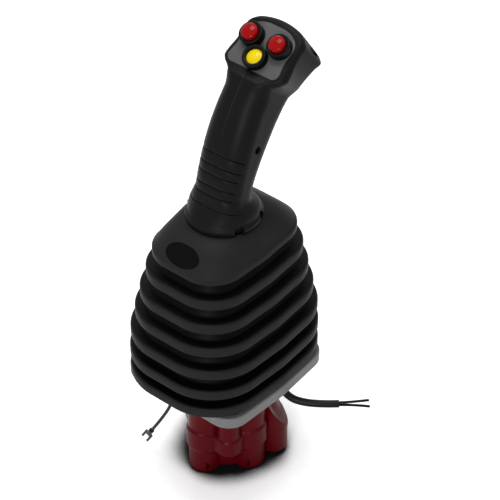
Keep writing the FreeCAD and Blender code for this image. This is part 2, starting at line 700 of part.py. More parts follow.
def make_grip_foot_solid():
    """Round foot: a flat rim that flares up into the first section of the grip."""
    rim_top = FOOT_Z + FOOT_RIM_H
    rim = cylinder(FOOT_R, FOOT_Z, rim_top)
    edges = [e for e in rim.Edges if e.Length > 3 * FOOT_R]
    rim = rim.makeChamfer(FOOT_EDGE_CHAMFER, edges)
    lean, half_depth = GRIP_SECTIONS[0]
    start = FOOT_R - FOOT_FLARE_INSET
    lower = rounded_rectangle(start, start, FOOT_FLARE_CORNER * start)
    lower.translate(V(0, 0, rim_top - FOOT_FLARE_SINK))
    y, z, middle_lean, half_x, half_y, corner_share = FOOT_MIDDLE_SECTION
    middle = leaning_section(V(0, y, z), middle_lean, half_x, half_y, corner_share)
    upper = leaning_section(arc_place(lean), lean, GRIP_HALF_WIDTH, half_depth, GRIP_SECTION_CORNER)
    return rim.fuse(Part.makeLoft([lower, middle, upper], True, False))


def grip_grooves():
    """Fine grooves across the front of the grip, each square to its centreline."""
    grooves = []
    for i in range(GROOVE_COUNT):
        lean = GROOVE_FIRST_LEAN + i * GROOVE_STEP_LEAN
        half_depth = GROOVE_HALF_DEPTH + GROOVE_HALF_DEPTH_PER_DEGREE * (lean - GROOVE_FIRST_LEAN)
        reach_x = GRIP_HALF_WIDTH + GROOVE_CUTTER_MARGIN
        reach_y = half_depth + GROOVE_CUTTER_MARGIN
        outer = Part.Face(rounded_rectangle(reach_x, reach_y, GROOVE_CUTTER_CORNER))
        corner = GRIP_SECTION_CORNER * (half_depth - GROOVE_DEPTH)
        core = Part.Face(rounded_rectangle(GRIP_HALF_WIDTH - GROOVE_DEPTH, half_depth - GROOVE_DEPTH, corner))
        ring = outer.cut(core).extrude(V(0, 0, GROOVE_WIDTH))
        back = block(-reach_x, reach_x, GROOVE_BACK_Y, reach_y + OVERCUT, -OVERCUT, GROOVE_WIDTH + OVERCUT)
        ring = ring.cut(back)
        ring.Placement = FreeCAD.Placement(arc_place(lean), FreeCAD.Rotation(X_AXIS, -lean))
        grooves.append(ring)
    return grooves


def foot_notches():
    """Half-round notches in the foot's rim, each with a way in for its grub screw."""
    cutters = []
    for angle in NOTCH_ANGLES:
        a = math.radians(angle)
        direction = V(math.cos(a), math.sin(a), 0)
        z = FOOT_Z + FOOT_RIM_H / 2
        start = direction * (FOOT_R - NOTCH_DEPTH) + V(0, 0, z)
        cutters.append(Part.makeCylinder(NOTCH_R, NOTCH_DEPTH + OVERCUT, start, direction))
        hole_start = direction * (INSERT_R - OVERCUT) + V(0, 0, z)
        cutters.append(Part.makeCylinder(GRUB_R + SEAT_GAP, FOOT_R, hole_start, direction))
    return cutters


def head_slots():
    """Short slots high on both sides of the head, along its depth."""
    cutters = []
    half_length = HEAD_SLOT_LENGTH / 2
    half_width = HEAD_SLOT_WIDTH / 2
    for side in (1, -1):
        x0, x1 = sorted((side * (HEAD_HALF_WIDTH - HEAD_SLOT_DEPTH), side * (HEAD_HALF_WIDTH + HEAD_SLOT_DEPTH)))
        z0 = -HEAD_SLOT_MID_DEPTH - half_length
        slot = block(x0, x1, HEAD_SLOT_RISE - half_width, HEAD_SLOT_RISE + half_width, z0, z0 + HEAD_SLOT_LENGTH)
        cutters.append(in_head(slot))
    return cutters


def panel_face(growth, z):
    """The button panel's outline as a face, grown or shrunk all round."""
    face = Part.Face(mirrored_outline(PANEL_HALF_OUTLINE, PANEL_OUTLINE_RADII, z))
    return face if growth == 0 else face.makeOffset2D(growth)


def make_grip_solid():
    outer = fuse_all([make_grip_foot_solid(), grip_loft(0), head_block()])
    for cutter in grip_grooves() + foot_notches() + head_slots():
        outer = outer.cut(cutter)
    return outer


def grip_hollow():
    """Everything inside the grip, and the seat that the lowest bezel needs beyond the panel's edge."""
    seat = cylinder(INSERT_R + SEAT_GAP, FOOT_Z - OVERCUT, INSERT_TOP_Z + FREE_GAP)
    handle = grip_loft(GRIP_WALL)
    pocket = panel_face(-PANEL_LEDGE, -HEAD_CAVITY_DEPTH).extrude(V(0, 0, HEAD_CAVITY_DEPTH + OVERCUT))
    recess = panel_face(PANEL_GAP, -PANEL_T).extrude(V(0, 0, PANEL_T + OVERCUT))
    _, x, y, bezel_r, bezel_h, _, _ = BUTTONS[-1]
    bezel_seat = cylinder(bezel_r + BEZEL_SEAT_GAP, 0, bezel_h, x, y)
    return [seat, handle, in_head(pocket), in_head(recess), in_head(bezel_seat)]


def make_grip_shells():
    solid = make_grip_solid()
    for hollow in grip_hollow():
        solid = solid.cut(hollow)
    bosses = []
    for lean in SHELL_SCREW_LEANS:
        centre = arc_place(lean)
        half = GRIP_HALF_WIDTH - OVERCUT
        boss = Part.makeCylinder(SHELL_BOSS_R, 2 * half, centre - X_AXIS * half, X_AXIS)
        bosses.append(boss)
    solid = fuse_all([solid] + bosses)
    for lean in SHELL_SCREW_LEANS:
        centre = arc_place(lean)
        head_x = GRIP_HALF_WIDTH - SHELL_SCREW_RECESS - SHELL_SCREW_HEAD_T
        hole = Part.makeCylinder(SHELL_SCREW_R + SEAT_GAP, SHELL_SCREW_LENGTH + OVERCUT,
                                 centre + X_AXIS * head_x, X_AXIS * -1)
        recess = Part.makeCylinder(SHELL_SCREW_HEAD_R + SEAT_GAP, GRIP_HALF_WIDTH, centre + X_AXIS * head_x, X_AXIS)
        solid = solid.cut(hole).cut(recess)
    far = GRIP_HALVING_BOX
    right = solid.common(block(0, far, -far, far, 0, far))
    left = solid.common(block(-far, 0, -far, far, 0, far))
    return left, right


def make_shell_screws():
    screws = []
    for lean in SHELL_SCREW_LEANS:
        centre = arc_place(lean)
        head_x = GRIP_HALF_WIDTH - SHELL_SCREW_RECESS - SHELL_SCREW_HEAD_T
        shank = Part.makeCylinder(SHELL_SCREW_R, SHELL_SCREW_LENGTH, centre + X_AXIS * head_x, X_AXIS * -1)
        head = Part.makeCylinder(SHELL_SCREW_HEAD_R, SHELL_SCREW_HEAD_T, centre + X_AXIS * head_x, X_AXIS)
        screws.append(fuse_all([shank, head]))
    return Part.makeCompound(screws)


def make_grub_screws():
    screws = []
    for angle in NOTCH_ANGLES:
        a = math.radians(angle)
        direction = V(math.cos(a), math.sin(a), 0)
        start = direction * (INSERT_R + SEAT_GAP) + V(0, 0, FOOT_Z + FOOT_RIM_H / 2)
        screws.append(Part.makeCylinder(GRUB_R, GRUB_LENGTH, start, direction))
    return Part.makeCompound(screws)


def make_grip_insert():
    insert = cylinder(INSERT_R, LOCK_NUT_Z + LOCK_NUT_T, INSERT_TOP_Z)
    return insert.cut(cylinder(LEVER_R + SEAT_GAP, LOCK_NUT_Z, INSERT_TOP_Z + OVERCUT))


# Buttons

def make_button_panel():
    panel = panel_face(0, -PANEL_T).extrude(V(0, 0, PANEL_T))
    for _, x, y, _, _, _, _ in BUTTONS:
        panel = panel.cut(cylinder(BEZEL_SHANK_R + SEAT_GAP, -PANEL_T - OVERCUT, OVERCUT, x, y))
    return in_head(panel)


def make_bezel(x, y, radius, height, cap_r):
    """Collar of a button above the panel, with a shank that passes through it."""
    flange = cylinder(radius, 0, height, x, y)
    top = [e for e in flange.Edges if e.BoundBox.ZMin > height - 1e-6]
    flange = flange.makeChamfer(BEZEL_EDGE_CHAMFER, top)
    shank = cylinder(BEZEL_SHANK_R, -PANEL_T, height / 2, x, y)
    bezel = fuse_all([flange, shank])
    bore = cylinder(cap_r + RUNNING_GAP, -PANEL_T - OVERCUT, height + OVERCUT, x, y)
    return in_head(bezel.cut(bore))


def make_cap(x, y, cap_r, cap_top):
    """Domed cap on a stem that reaches down into the switch."""
    rim = cap_top - CAP_DOME_H
    dome_r = (cap_r * cap_r + CAP_DOME_H * CAP_DOME_H) / (2 * CAP_DOME_H)
    ball = Part.makeSphere(dome_r, V(x, y, cap_top - dome_r))
    dome = ball.common(cylinder(cap_r, rim - DOME_OVERLAP, cap_top + OVERCUT, x, y))
    barrel = cylinder(cap_r, 0.0, rim, x, y)
    stem_foot = -SWITCH_DEPTH + SWITCH_FLOOR_T + BUTTON_TRAVEL + FREE_GAP
    stem = cylinder(CAP_STEM_R, stem_foot, OVERCUT, x, y)
    return in_head(fuse_all([barrel, dome, stem]))


def make_switch(x, y):
    """Switch under the panel: a round can with a bore for the cap's stem."""
    outer_r = BEZEL_SHANK_R + SWITCH_WALL
    can = cylinder(outer_r, -SWITCH_DEPTH, -PANEL_T, x, y)
    mouth = cylinder(CAP_STEM_R + RUNNING_GAP, -SWITCH_DEPTH + SWITCH_FLOOR_T, -PANEL_T + OVERCUT, x, y)
    well = cylinder(outer_r - SWITCH_WALL, -PANEL_T - BUTTON_TRAVEL - SWITCH_WELL_MARGIN, -PANEL_T + OVERCUT, x, y)
    return in_head(can.cut(mouth).cut(well))


# Cords

def from_hole(x, y, points):
    """Route points carried to the hole that the cord comes through."""
    return [V(x + px, y + py, pz) for px, py, pz in points]


def cable_route():
    return from_hole(CABLE_HOLE_X, CABLE_HOLE_Y, CABLE_RUN)


def earth_route():
    return from_hole(EARTH_HOLE_X, EARTH_HOLE_Y, EARTH_RUN)


def cord_path(points):
    """Straight runs joined by tangent arcs, each arc as large as its two runs allow."""
    edges = []
    radii = []
    here = points[0]
    for i in range(1, len(points) - 1):
        u = (points[i - 1] - points[i]).normalize()
        w = (points[i + 1] - points[i]).normalize()
        half_turn = 0.5 * (math.pi - u.getAngle(w))
        shorter = min((points[i - 1] - points[i]).Length, (points[i + 1] - points[i]).Length)
        reach = 0.45 * shorter
        radius = reach / math.tan(half_turn)
        start = points[i] + u * reach
        end = points[i] + w * reach
        middle = points[i] + (u + w).normalize() * (radius / math.cos(half_turn) - radius)
        if (start - here).Length > 1e-4:
            edges.append(Part.LineSegment(here, start).toShape())
        edges.append(Part.Arc(start, middle, end).toShape())
        here = end
        radii.append(round(radius, 1))
    edges.append(Part.LineSegment(here, points[-1]).toShape())
    return Part.Wire(edges), radii


def make_cord(name, points, radius):
    path, radii = cord_path(points)
    direction = points[1] - points[0]
    section = Part.Wire(Part.makeCircle(radius, points[0], direction))
    cord = path.makePipeShell([section], True, False)
    expected = math.pi * radius * radius * path.Length
    print(name, "length", round(path.Length, 1), "radii", radii, "volume ratio", round(cord.Volume / expected, 4))
    return cord


def core_route(side, end):
    """Route of an inner wire: it leaves the cut end of the cable square, above or below its centre."""
    before, cut = cable_route()[-2:]
    along = (cut - before).normalize()
    upward = (Z_AXIS - along * Z_AXIS.dot(along)).normalize()
    start = cut + upward * (side * CORE_WIRE_OFFSET)
    bend = start + along * CORE_FIRST_RUN
    return [start, bend] + from_hole(CABLE_HOLE_X, CABLE_HOLE_Y, [end])


def make_grommet(x, y, cord_r):
    """Rubber grommet in the plate's hole, with a lip above and below."""
    hole_r = cord_r + GROMMET_WALL
    lip_r = hole_r + GROMMET_LIP
    body = cylinder(hole_r, -GROMMET_LIP_T, PLATE_T + GROMMET_LIP_T, x, y)
    lower = cylinder(lip_r, -GROMMET_LIP_T, 0, x, y)
    upper = cylinder(lip_r, PLATE_T, PLATE_T + GROMMET_LIP_T, x, y)
    grommet = fuse_all([body, lower, upper])
    return grommet.cut(cylinder(cord_r, -3 * GROMMET_LIP_T, PLATE_T + 3 * GROMMET_LIP_T, x, y))


def make_fork_terminal():
    """Crimped fork terminal on the earth wire's end, in line with the wire's last run."""
    before, end = earth_route()[-2:]
    direction = (end - before).normalize()
    neck = cylinder(TERMINAL_NECK_R, 0, TERMINAL_NECK_LENGTH)
    fork_end = TERMINAL_NECK_LENGTH + TERMINAL_FORK_LENGTH
    half = TERMINAL_FORK_HALF_WIDTH
    slot = TERMINAL_SLOT_HALF_WIDTH
    web_end = TERMINAL_NECK_LENGTH + TERMINAL_WEB
    tongue = block(-half, half, -TERMINAL_T / 2, TERMINAL_T / 2, TERMINAL_NECK_LENGTH - OVERCUT, fork_end)
    tongue = tongue.cut(block(-slot, slot, -TERMINAL_T, TERMINAL_T, web_end, fork_end + OVERCUT))
    terminal = fuse_all([neck, tongue])
    terminal.Placement = FreeCAD.Placement(end, FreeCAD.Rotation(Z_AXIS, direction))
    return terminal


def build_base():
    save(make_valve_body(), "valve_body")
    save(make_flange_plate(), "flange_plate")
    save(make_assembly_screws(), "assembly_screws")
    save(make_joint_fork(), "joint_fork")
    save(make_bellows(), "bellows")
    save(make_bellows_clamp(), "bellows_clamp")
    for number, (x, y) in enumerate(port_places(), 1):
        save(make_guide_bush(x, y), "guide_bush_%d" % number)
        save(make_wiper_ring(x, y), "wiper_ring_%d" % number)
        save(make_return_spring(x, y), "return_spring_%d" % number)
        save(make_plunger(x, y), "plunger_%d" % number)
        save(make_metering_spool(x, y), "metering_spool_%d" % number)


def build_lever():
    save(make_joint_cross(), "joint_cross")
    save(make_swash_plate(), "swash_plate")
    save(make_lever_rod(), "lever_rod")
    save(make_lock_nut(), "lock_nut")
    save(make_grip_insert(), "grip_insert")
    left, right = make_grip_shells()
    save(left, "grip_shell_left")
    save(right, "grip_shell_right")
    save(make_shell_screws(), "shell_screw")
    save(make_grub_screws(), "foot_grub_screws")


def build_buttons():
    save(make_button_panel(), "button_panel")
    for name, x, y, bezel_r, bezel_h, cap_r, cap_top in BUTTONS:
        save(make_bezel(x, y, bezel_r, bezel_h, cap_r), "bezel_" + name)
        save(make_cap(x, y, cap_r, cap_top), "button_cap_" + name)
        save(make_switch(x, y), "switch_" + name)


def build_cords():
    save(make_grommet(CABLE_HOLE_X, CABLE_HOLE_Y, CABLE_R), "cable_grommet")
    save(make_grommet(EARTH_HOLE_X, EARTH_HOLE_Y, EARTH_WIRE_R), "earth_wire_grommet")
    save(make_cord("cable", cable_route(), CABLE_R), "cable")
    save(make_cord("upper core", core_route(1, UPPER_CORE_END), CORE_WIRE_R), "core_wire_upper")
    save(make_cord("lower core", core_route(-1, LOWER_CORE_END), CORE_WIRE_R), "core_wire_lower")
    save(make_cord("earth wire", earth_route(), EARTH_WIRE_R), "earth_wire")
    save(make_fork_terminal(), "fork_terminal")


os.makedirs("parts", exist_ok=True)
build_base()
build_lever()
build_buttons()
build_cords()
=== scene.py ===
"""Looks of the hydraulic joystick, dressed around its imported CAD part.

Lengths in the classes are millimetres in the part's own frame: +Z up, +Y ahead of the
operator, +X to the operator's right, origin at the centre of the flange plate's underside.
Meshes are stored in metres.
"""
import logging
import math
from dataclasses import dataclass
from enum import Enum

import bpy
import numpy as np
from mathutils import Matrix, Vector


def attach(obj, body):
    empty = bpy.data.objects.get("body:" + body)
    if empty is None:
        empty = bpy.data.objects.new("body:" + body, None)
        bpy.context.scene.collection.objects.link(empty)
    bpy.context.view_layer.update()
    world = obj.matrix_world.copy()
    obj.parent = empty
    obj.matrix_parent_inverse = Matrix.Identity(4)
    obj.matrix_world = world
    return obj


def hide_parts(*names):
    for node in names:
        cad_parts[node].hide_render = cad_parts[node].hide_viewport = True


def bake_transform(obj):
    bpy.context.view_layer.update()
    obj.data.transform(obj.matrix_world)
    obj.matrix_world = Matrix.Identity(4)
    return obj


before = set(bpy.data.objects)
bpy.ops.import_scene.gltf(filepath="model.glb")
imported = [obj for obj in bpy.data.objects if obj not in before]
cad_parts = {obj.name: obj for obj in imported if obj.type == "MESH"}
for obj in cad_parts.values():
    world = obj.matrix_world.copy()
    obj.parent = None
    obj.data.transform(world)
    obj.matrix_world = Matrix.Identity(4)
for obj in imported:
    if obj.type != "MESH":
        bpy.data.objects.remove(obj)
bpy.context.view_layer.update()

log = logging.getLogger("joystick")
MM = 0.001
TAU = 2.0 * math.pi
SIDES = {"right": 1.0, "left": -1.0}
# Near black that painted shade mixes into the bellows' folds and towards the neck
PAINTED_SHADE_BLACK = (0.0012, 0.0012, 0.0012)
# Patches of drift and broad waves for each metre of a surface, and the waves' share of the relief
DRIFT_SCALE = 60.0
WAVE_SCALE = 45.0
WAVE_SHARE = 0.6


# Surfaces

def unit(vectors: np.ndarray) -> np.ndarray:
    """Vectors along the last axis, each divided by its own length."""
    return vectors / np.linalg.norm(vectors, axis=-1, keepdims=True)


def smooth_step(value: np.ndarray, low: float, high: float) -> np.ndarray:
    """Share that rises from 0 at low to 1 at high along the curve 3t^2 - 2t^3."""
    t = np.clip((value - low) / (high - low), 0.0, 1.0)
    return t * t * (3.0 - 2.0 * t)


def rounded_loop(corners: np.ndarray, radii: np.ndarray, arc_steps: int, run_steps: int) -> np.ndarray:
    """Closed polygons with rounded corners, all sampled in the same way.

    Each corner's arc touches both of its runs, so it starts radius / tan(half the corner's
    angle) before the corner. An arc is sampled evenly by angle and a run evenly by length.

    Args:
        corners: corner points, shaped (..., count, 2).
        radii: radius at each corner, shaped (..., count).
        arc_steps: points on each arc, both ends included.
        run_steps: points inside each straight run.

    Returns:
        Points in order round the loops, shaped (..., count * (arc_steps + run_steps), 2).
    """
    to_last = unit(np.roll(corners, 1, axis=-2) - corners)
    to_next = unit(np.roll(corners, -1, axis=-2) - corners)
    half = 0.5 * np.arccos(np.clip((to_last * to_next).sum(-1), -1.0, 1.0))
    reach = (radii / np.tan(half))[..., None]
    start = corners + to_last * reach
    end = corners + to_next * reach
    centre = corners + unit(to_last + to_next) * (radii / np.sin(half))[..., None]
    first = np.arctan2(*np.moveaxis(start - centre, -1, 0)[::-1])
    last = np.arctan2(*np.moveaxis(end - centre, -1, 0)[::-1])
    turn = (last - first + math.pi) % TAU - math.pi
    share = np.linspace(0.0, 1.0, arc_steps)
    angle = first[..., None] + turn[..., None] * share
    circle = np.stack([np.cos(angle), np.sin(angle)], axis=-1)
    arcs = centre[..., None, :] + radii[..., None, None] * circle
    step = np.linspace(0.0, 1.0, run_steps + 2)[1:-1, None]
    runs = end[..., None, :] * (1.0 - step) + np.roll(start, -1, axis=-2)[..., None, :] * step
    loop = np.concatenate([arcs, runs], axis=-2)
    return loop.reshape(*loop.shape[:-3], -1, 2)


def through_stations(stations: np.ndarray, at: np.ndarray) -> np.ndarray:
    """Smooth columns of numbers through the rows of a table, with no overshoot.

    Between two rows each column is a cubic whose end slopes are the limited mean of the
    slopes on either side: twice their product over their sum, and zero where they differ in
    sign.

    Args:
        stations: one row for each whole value of the parameter.
        at: parameter values from 0 to the number of rows less one.

    Returns:
        One interpolated row for each value in at.
    """
    slope = np.diff(stations, axis=0)
    before = np.vstack([slope[:1], slope])
    after = np.vstack([slope, slope[-1:]])
    product = before * after
    total = before + after
    safe = np.where(np.abs(total) > 1e-9, total, 1.0)
    tangent = np.where(product > 0.0, 2.0 * product / safe, 0.0)
    row = np.clip(np.floor(at).astype(int), 0, len(stations) - 2)
    t = (at - row)[:, None]
    low = (1.0 + 2.0 * t) * (1.0 - t) ** 2 * stations[row] + t * (1.0 - t) ** 2 * tangent[row]
    high = t * t * (3.0 - 2.0 * t) * stations[row + 1] - t * t * (1.0 - t) * tangent[row + 1]
    return low + high


def ring_faces(rings: int, points: int, closed: bool, capped: bool) -> list[tuple[int, ...]]:
    """Faces of a stack of rings, each of the same number of points.

    Point i of a ring joins point i + 1 and the same two points of the next ring.

    Args:
        rings: number of rings.
        points: points in each ring.
        closed: whether the last ring joins the first.
        capped: whether each end is closed by a fan about a centre point that follows the rings.

    Returns:
        Tuples of vertex numbers that face outwards for rings that turn left going up.
    """
    j, i = np.meshgrid(np.arange(rings if closed else rings - 1), np.arange(points), indexing="ij")
    after = (i + 1) % points
    above = (j + 1) % rings
    quads = np.stack([j * points + i, j * points + after, above * points + after, above * points + i], -1)
    faces = [tuple(q) for q in quads.reshape(-1, 4).tolist()]
    if capped:
        around = np.arange(points)
        following = (around + 1) % points
        top = (rings - 1) * points
        first = np.stack([np.full(points, rings * points), following, around], -1)
        last = np.stack([np.full(points, rings * points + 1), top + around, top + following], -1)
        faces += [tuple(t) for t in np.vstack([first, last]).tolist()]
    return faces


def ring_piece(name: str, rings: np.ndarray, closed: bool = False, sharp: float = 40.0) -> bpy.types.Object:
    """Mesh object skinned over rings of points.

    Args:
        name: name of the piece.
        rings: points in millimetres, shaped (rings, points, 3).
        closed: whether the stack of rings closes on itself; otherwise both ends are capped.
        sharp: angle in degrees above which an edge stays sharp.

    Returns:
        The new object, linked to the scene.
    """
    count, points = rings.shape[:2]
    vertices = rings.reshape(-1, 3)
    if not closed:
        vertices = np.vstack([vertices, rings[0].mean(0), rings[-1].mean(0)])
    mesh = bpy.data.meshes.new(name)
    mesh.from_pydata((vertices * MM).tolist(), [], ring_faces(count, points, closed, not closed))
    return finished_object(name, mesh, sharp)


def finished_object(name: str, mesh: bpy.types.Mesh, sharp: float) -> bpy.types.Object:
    """Object for a mesh, shaded smooth except at edges sharper than an angle in degrees."""
    mesh.validate()
    mesh.shade_smooth()
    mesh.set_sharp_from_angle(angle=math.radians(sharp))
    piece = bpy.data.objects.new(name, mesh)
    bpy.context.scene.collection.objects.link(piece)
    return piece


def turned(profile: np.ndarray, steps: int = 96) -> np.ndarray:
    """Rings of a body of revolution about +Z.

    A profile point (r, z) becomes the ring (r cos a, r sin a, z) for angles a all round.

    Args:
        profile: points (radius, height), shaped (rings, 2).
        steps: points in each ring.

    Returns:
        Points shaped (rings, steps, 3).
    """
    angle = np.linspace(0.0, TAU, steps, endpoint=False)
    radius = profile[:, 0, None]
    height = np.broadcast_to(profile[:, 1, None], (len(profile), steps))
    return np.stack([radius * np.cos(angle), radius * np.sin(angle), height], -1)


def cut_away(piece: bpy.types.Object, cutters: list[bpy.types.Object], sharp: float = 40.0) -> None:
    """Take the cutters' volumes out of a piece and delete the cutters."""
    for cutter in cutters:
        tool = piece.modifiers.new("recess", "BOOLEAN")
        tool.operation = "DIFFERENCE"
        tool.solver = "EXACT"
        tool.object = cutter
        tool.material_mode = "TRANSFER"
    graph = bpy.context.evaluated_depsgraph_get()
    mesh = bpy.data.meshes.new_from_object(piece.evaluated_get(graph))
    piece.modifiers.clear()
    piece.data = mesh
    mesh.shade_smooth()
    mesh.set_sharp_from_angle(angle=math.radians(sharp))
    for cutter in cutters:
        bpy.data.objects.remove(cutter)


# Finishes

class Grain(Enum):
    """How fine a moulded or cast surface is: grains for each metre."""

    MOULDED = 900.0
    RUBBER = 600.0
    CAST = 260.0
    METAL = 1500.0


def grey(level: float) -> tuple[float, float, float]:
    """Colour with one level in red, green and blue."""
    return level, level, level


def add_node(tree: bpy.types.NodeTree, kind: str, inputs: dict | None = None,
             **settings: object) -> bpy.types.Node:
    """New shader node; its settings are made before its inputs are filled.

    Args:
        tree: the node tree to build in.
        kind: type of the node without the prefix ShaderNode.
        inputs: starting values of its inputs, by name or place.
        settings: properties of the node itself, such as its operation.

    Returns:
        The new node.
    """
    node = tree.nodes.new("ShaderNode" + kind)
    for name, value in settings.items():
        setattr(node, name, value)
    for socket, value in (inputs or {}).items():
        node.inputs[socket].default_value = value
    return node


def connect(tree: bpy.types.NodeTree, *pairs: tuple[bpy.types.NodeSocket, ...]) -> None:
    """Link each pair of sockets, from an output to an input."""
    for start, end in pairs:
        tree.links.new(start, end)


class SharedEffects:
    """Shader groups that several finishes use, built once each."""

    def __init__(self) -> None:
        """Build the groups."""
        self.mottle = self.make_mottle()
        self.relief = self.make_relief()

    @staticmethod
    def new_group(name: str, inputs: dict[str, str],
                  outputs: dict[str, str]) -> tuple[bpy.types.NodeTree, bpy.types.Node, bpy.types.Node]:
        """Group that has its sockets and nothing else.

        Args:
            name: name of the group.
            inputs: kind of value of each input, by its name.
            outputs: kind of value of each output, by its name.

        Returns:
            The group, its entry node and its exit node.
        """
        group = bpy.data.node_groups.new(name, "ShaderNodeTree")
        for direction, sockets in (("INPUT", inputs), ("OUTPUT", outputs)):
            for socket, kind in sockets.items():
                group.interface.new_socket(name=socket, in_out=direction, socket_type="NodeSocket" + kind)
        return group, group.nodes.new("NodeGroupInput"), group.nodes.new("NodeGroupOutput")

    def make_mottle(self) -> bpy.types.NodeTree:
        """Colour and roughness that drift slowly over a surface, as on a handled part.

        Returns:
            A group with inputs Vector, Colour, Drift Colour, Size, Roughness, Drift and the
            outputs Colour and Roughness.
        """
        group, entry, leave = self.new_group("surface drift", {
            "Vector": "Vector", "Colour": "Color", "Drift Colour": "Color", "Size": "Float",
            "Roughness": "Float", "Drift": "Float",
        }, {"Colour": "Color", "Roughness": "Float"})
        noise = add_node(group, "TexNoise", {"Detail": 3.0})
        mix = add_node(group, "Mix", data_type="RGBA")
        centred = add_node(group, "Math", {1: 0.5}, operation="SUBTRACT")
        scaled = add_node(group, "Math", operation="MULTIPLY_ADD")
        connect(group,
                (entry.outputs["Vector"], noise.inputs["Vector"]),
                (entry.outputs["Size"], noise.inputs["Scale"]),
                (noise.outputs["Fac"], mix.inputs["Factor"]),
                (entry.outputs["Colour"], mix.inputs["A"]),
                (entry.outputs["Drift Colour"], mix.inputs["B"]),
                (noise.outputs["Fac"], centred.inputs[0]),
                (centred.outputs[0], scaled.inputs[0]),
                (entry.outputs["Drift"], scaled.inputs[1]),
                (entry.outputs["Roughness"], scaled.inputs[2]),
                (mix.outputs["Result"], leave.inputs["Colour"]),
                (scaled.outputs[0], leave.inputs["Roughness"]))
        return group

    def make_relief(self) -> bpy.types.NodeTree:
        """Height of a fine grain with larger, flatter waves under it.

        Returns:
            A group with inputs Vector, Grains, Waves and the output Height.
        """
        group, entry, leave = self.new_group("surface relief", {
            "Vector": "Vector", "Grains": "Float", "Waves": "Float",
        }, {"Height": "Float"})
        fine = add_node(group, "TexNoise", {"Detail": 2.0})
        broad = add_node(group, "TexNoise", {"Detail": 1.0, "Scale": WAVE_SCALE})
        total = add_node(group, "Math", operation="MULTIPLY_ADD")
        connect(group,
                (entry.outputs["Vector"], fine.inputs["Vector"]),
                (entry.outputs["Vector"], broad.inputs["Vector"]),
                (entry.outputs["Grains"], fine.inputs["Scale"]),
                (broad.outputs["Fac"], total.inputs[0]),
                (entry.outputs["Waves"], total.inputs[1]),
                (fine.outputs["Fac"], total.inputs[2]),
                (total.outputs[0], leave.inputs["Height"]))
        return group


@dataclass(frozen=True)
class Finish:
    """One finish of the joystick: its colour, gloss and grain.

    shade names the point attribute that darkens it, and slot the record's material slot where
    that isn't the finish's own name; slot is not used.
    """

    name: str
    colour: tuple[float, float, float]
    drift_colour: tuple[float, float, float]
    roughness: float
    grain: Grain
    drift: float = 0.08
    relief: float = 0.02
    metallic: float = 0.0
    coat: float = 0.0
    specular: float = 0.5
    # Point attribute that paints shade into the colour, mixing it towards near black
    shade: str = ""
    slot: str = ""

    def material(self, effects: SharedEffects) -> bpy.types.Material:
        """Material of this finish, made the first time it is asked for.

        Args:
            effects: the shared shader groups.

        Returns:
            The material, with object coordinates feeding its drift and its relief.
        """
        made = bpy.data.materials.get(self.name + "_finish")
        if made is not None:
            return made
        material = bpy.data.materials.new(self.name + "_finish")
        material.use_nodes = True
        tree = material.node_tree
        shader = tree.nodes["Principled BSDF"]
        shader.inputs["Metallic"].default_value = self.metallic
        shader.inputs["Coat Weight"].default_value = self.coat
        shader.inputs["Specular IOR Level"].default_value = self.specular
        place = add_node(tree, "TexCoord")
        drift = add_node(tree, "Group", {
            "Colour": (*self.colour, 1.0), "Drift Colour": (*self.drift_colour, 1.0),
            "Size": DRIFT_SCALE, "Roughness": self.roughness, "Drift": self.drift,
        }, node_tree=effects.mottle)
        relief = add_node(tree, "Group", {"Grains": self.grain.value, "Waves": WAVE_SHARE},
                          node_tree=effects.relief)
        bump = add_node(tree, "Bump", {"Strength": self.relief, "Distance": MM})
        connect(tree,
                (place.outputs["Object"], drift.inputs["Vector"]),
                (place.outputs["Object"], relief.inputs["Vector"]),
                (self.shaded(tree, drift.outputs["Colour"]), shader.inputs["Base Color"]),
                (drift.outputs["Roughness"], shader.inputs["Roughness"]),
                (relief.outputs["Height"], bump.inputs["Height"]),
                (bump.outputs["Normal"], shader.inputs["Normal"]))
        return material

    def shaded(self, tree: bpy.types.NodeTree, colour: bpy.types.NodeSocket) -> bpy.types.NodeSocket:
        """Colour with painted shade: darkened towards black by the finish's own point attribute.

        Args:
            tree: the material's node tree.
            colour: the socket that carries the colour in the open.

        Returns:
            The socket for the base colour, which is the one given where the finish has no shade.
        """
        if not self.shade:
            return colour
        where = add_node(tree, "Attribute", attribute_name=self.shade)
        mix = add_node(tree, "Mix", {"B": (*PAINTED_SHADE_BLACK, 1.0)}, data_type="RGBA")
        connect(tree, (where.outputs["Fac"], mix.inputs["Factor"]), (colour, mix.inputs["A"]))
        return mix.outputs["Result"]


BODY_PAINT = Finish("body_paint", (0.085, 0.001, 0.003), (0.100, 0.001, 0.004), 0.34, Grain.CAST,
                    relief=0.06, coat=0.04, specular=0.05)
# A darker copy of the body paint: painted shade that lets the raised port numbers read
PORT_NUMBER_PAINTED_SHADE = Finish("port_number", (0.020, 0.000, 0.001), (0.026, 0.000, 0.001), 0.45, Grain.CAST,
                     specular=0.04, slot="body_paint")
PLATE_STEEL = Finish("plate_steel", grey(0.155), (0.190, 0.190, 0.188), 0.42, Grain.METAL,
                     metallic=0.1, specular=0.2)
SCREW_STEEL = Finish("screw_steel", (0.030, 0.030, 0.032), (0.050, 0.050, 0.052), 0.38, Grain.METAL,
                     metallic=0.8)
MACHINED_STEEL = Finish("machined_steel", (0.45, 0.45, 0.46), (0.52, 0.52, 0.53), 0.30, Grain.METAL,
                        metallic=1.0)
SPRING_STEEL = Finish("spring_steel", (0.36, 0.36, 0.37), (0.42, 0.42, 0.43), 0.32, Grain.METAL, metallic=1.0)
BUSH_BRASS = Finish("bush_brass", (0.62, 0.45, 0.20), (0.70, 0.53, 0.26), 0.30, Grain.METAL, metallic=1.0)
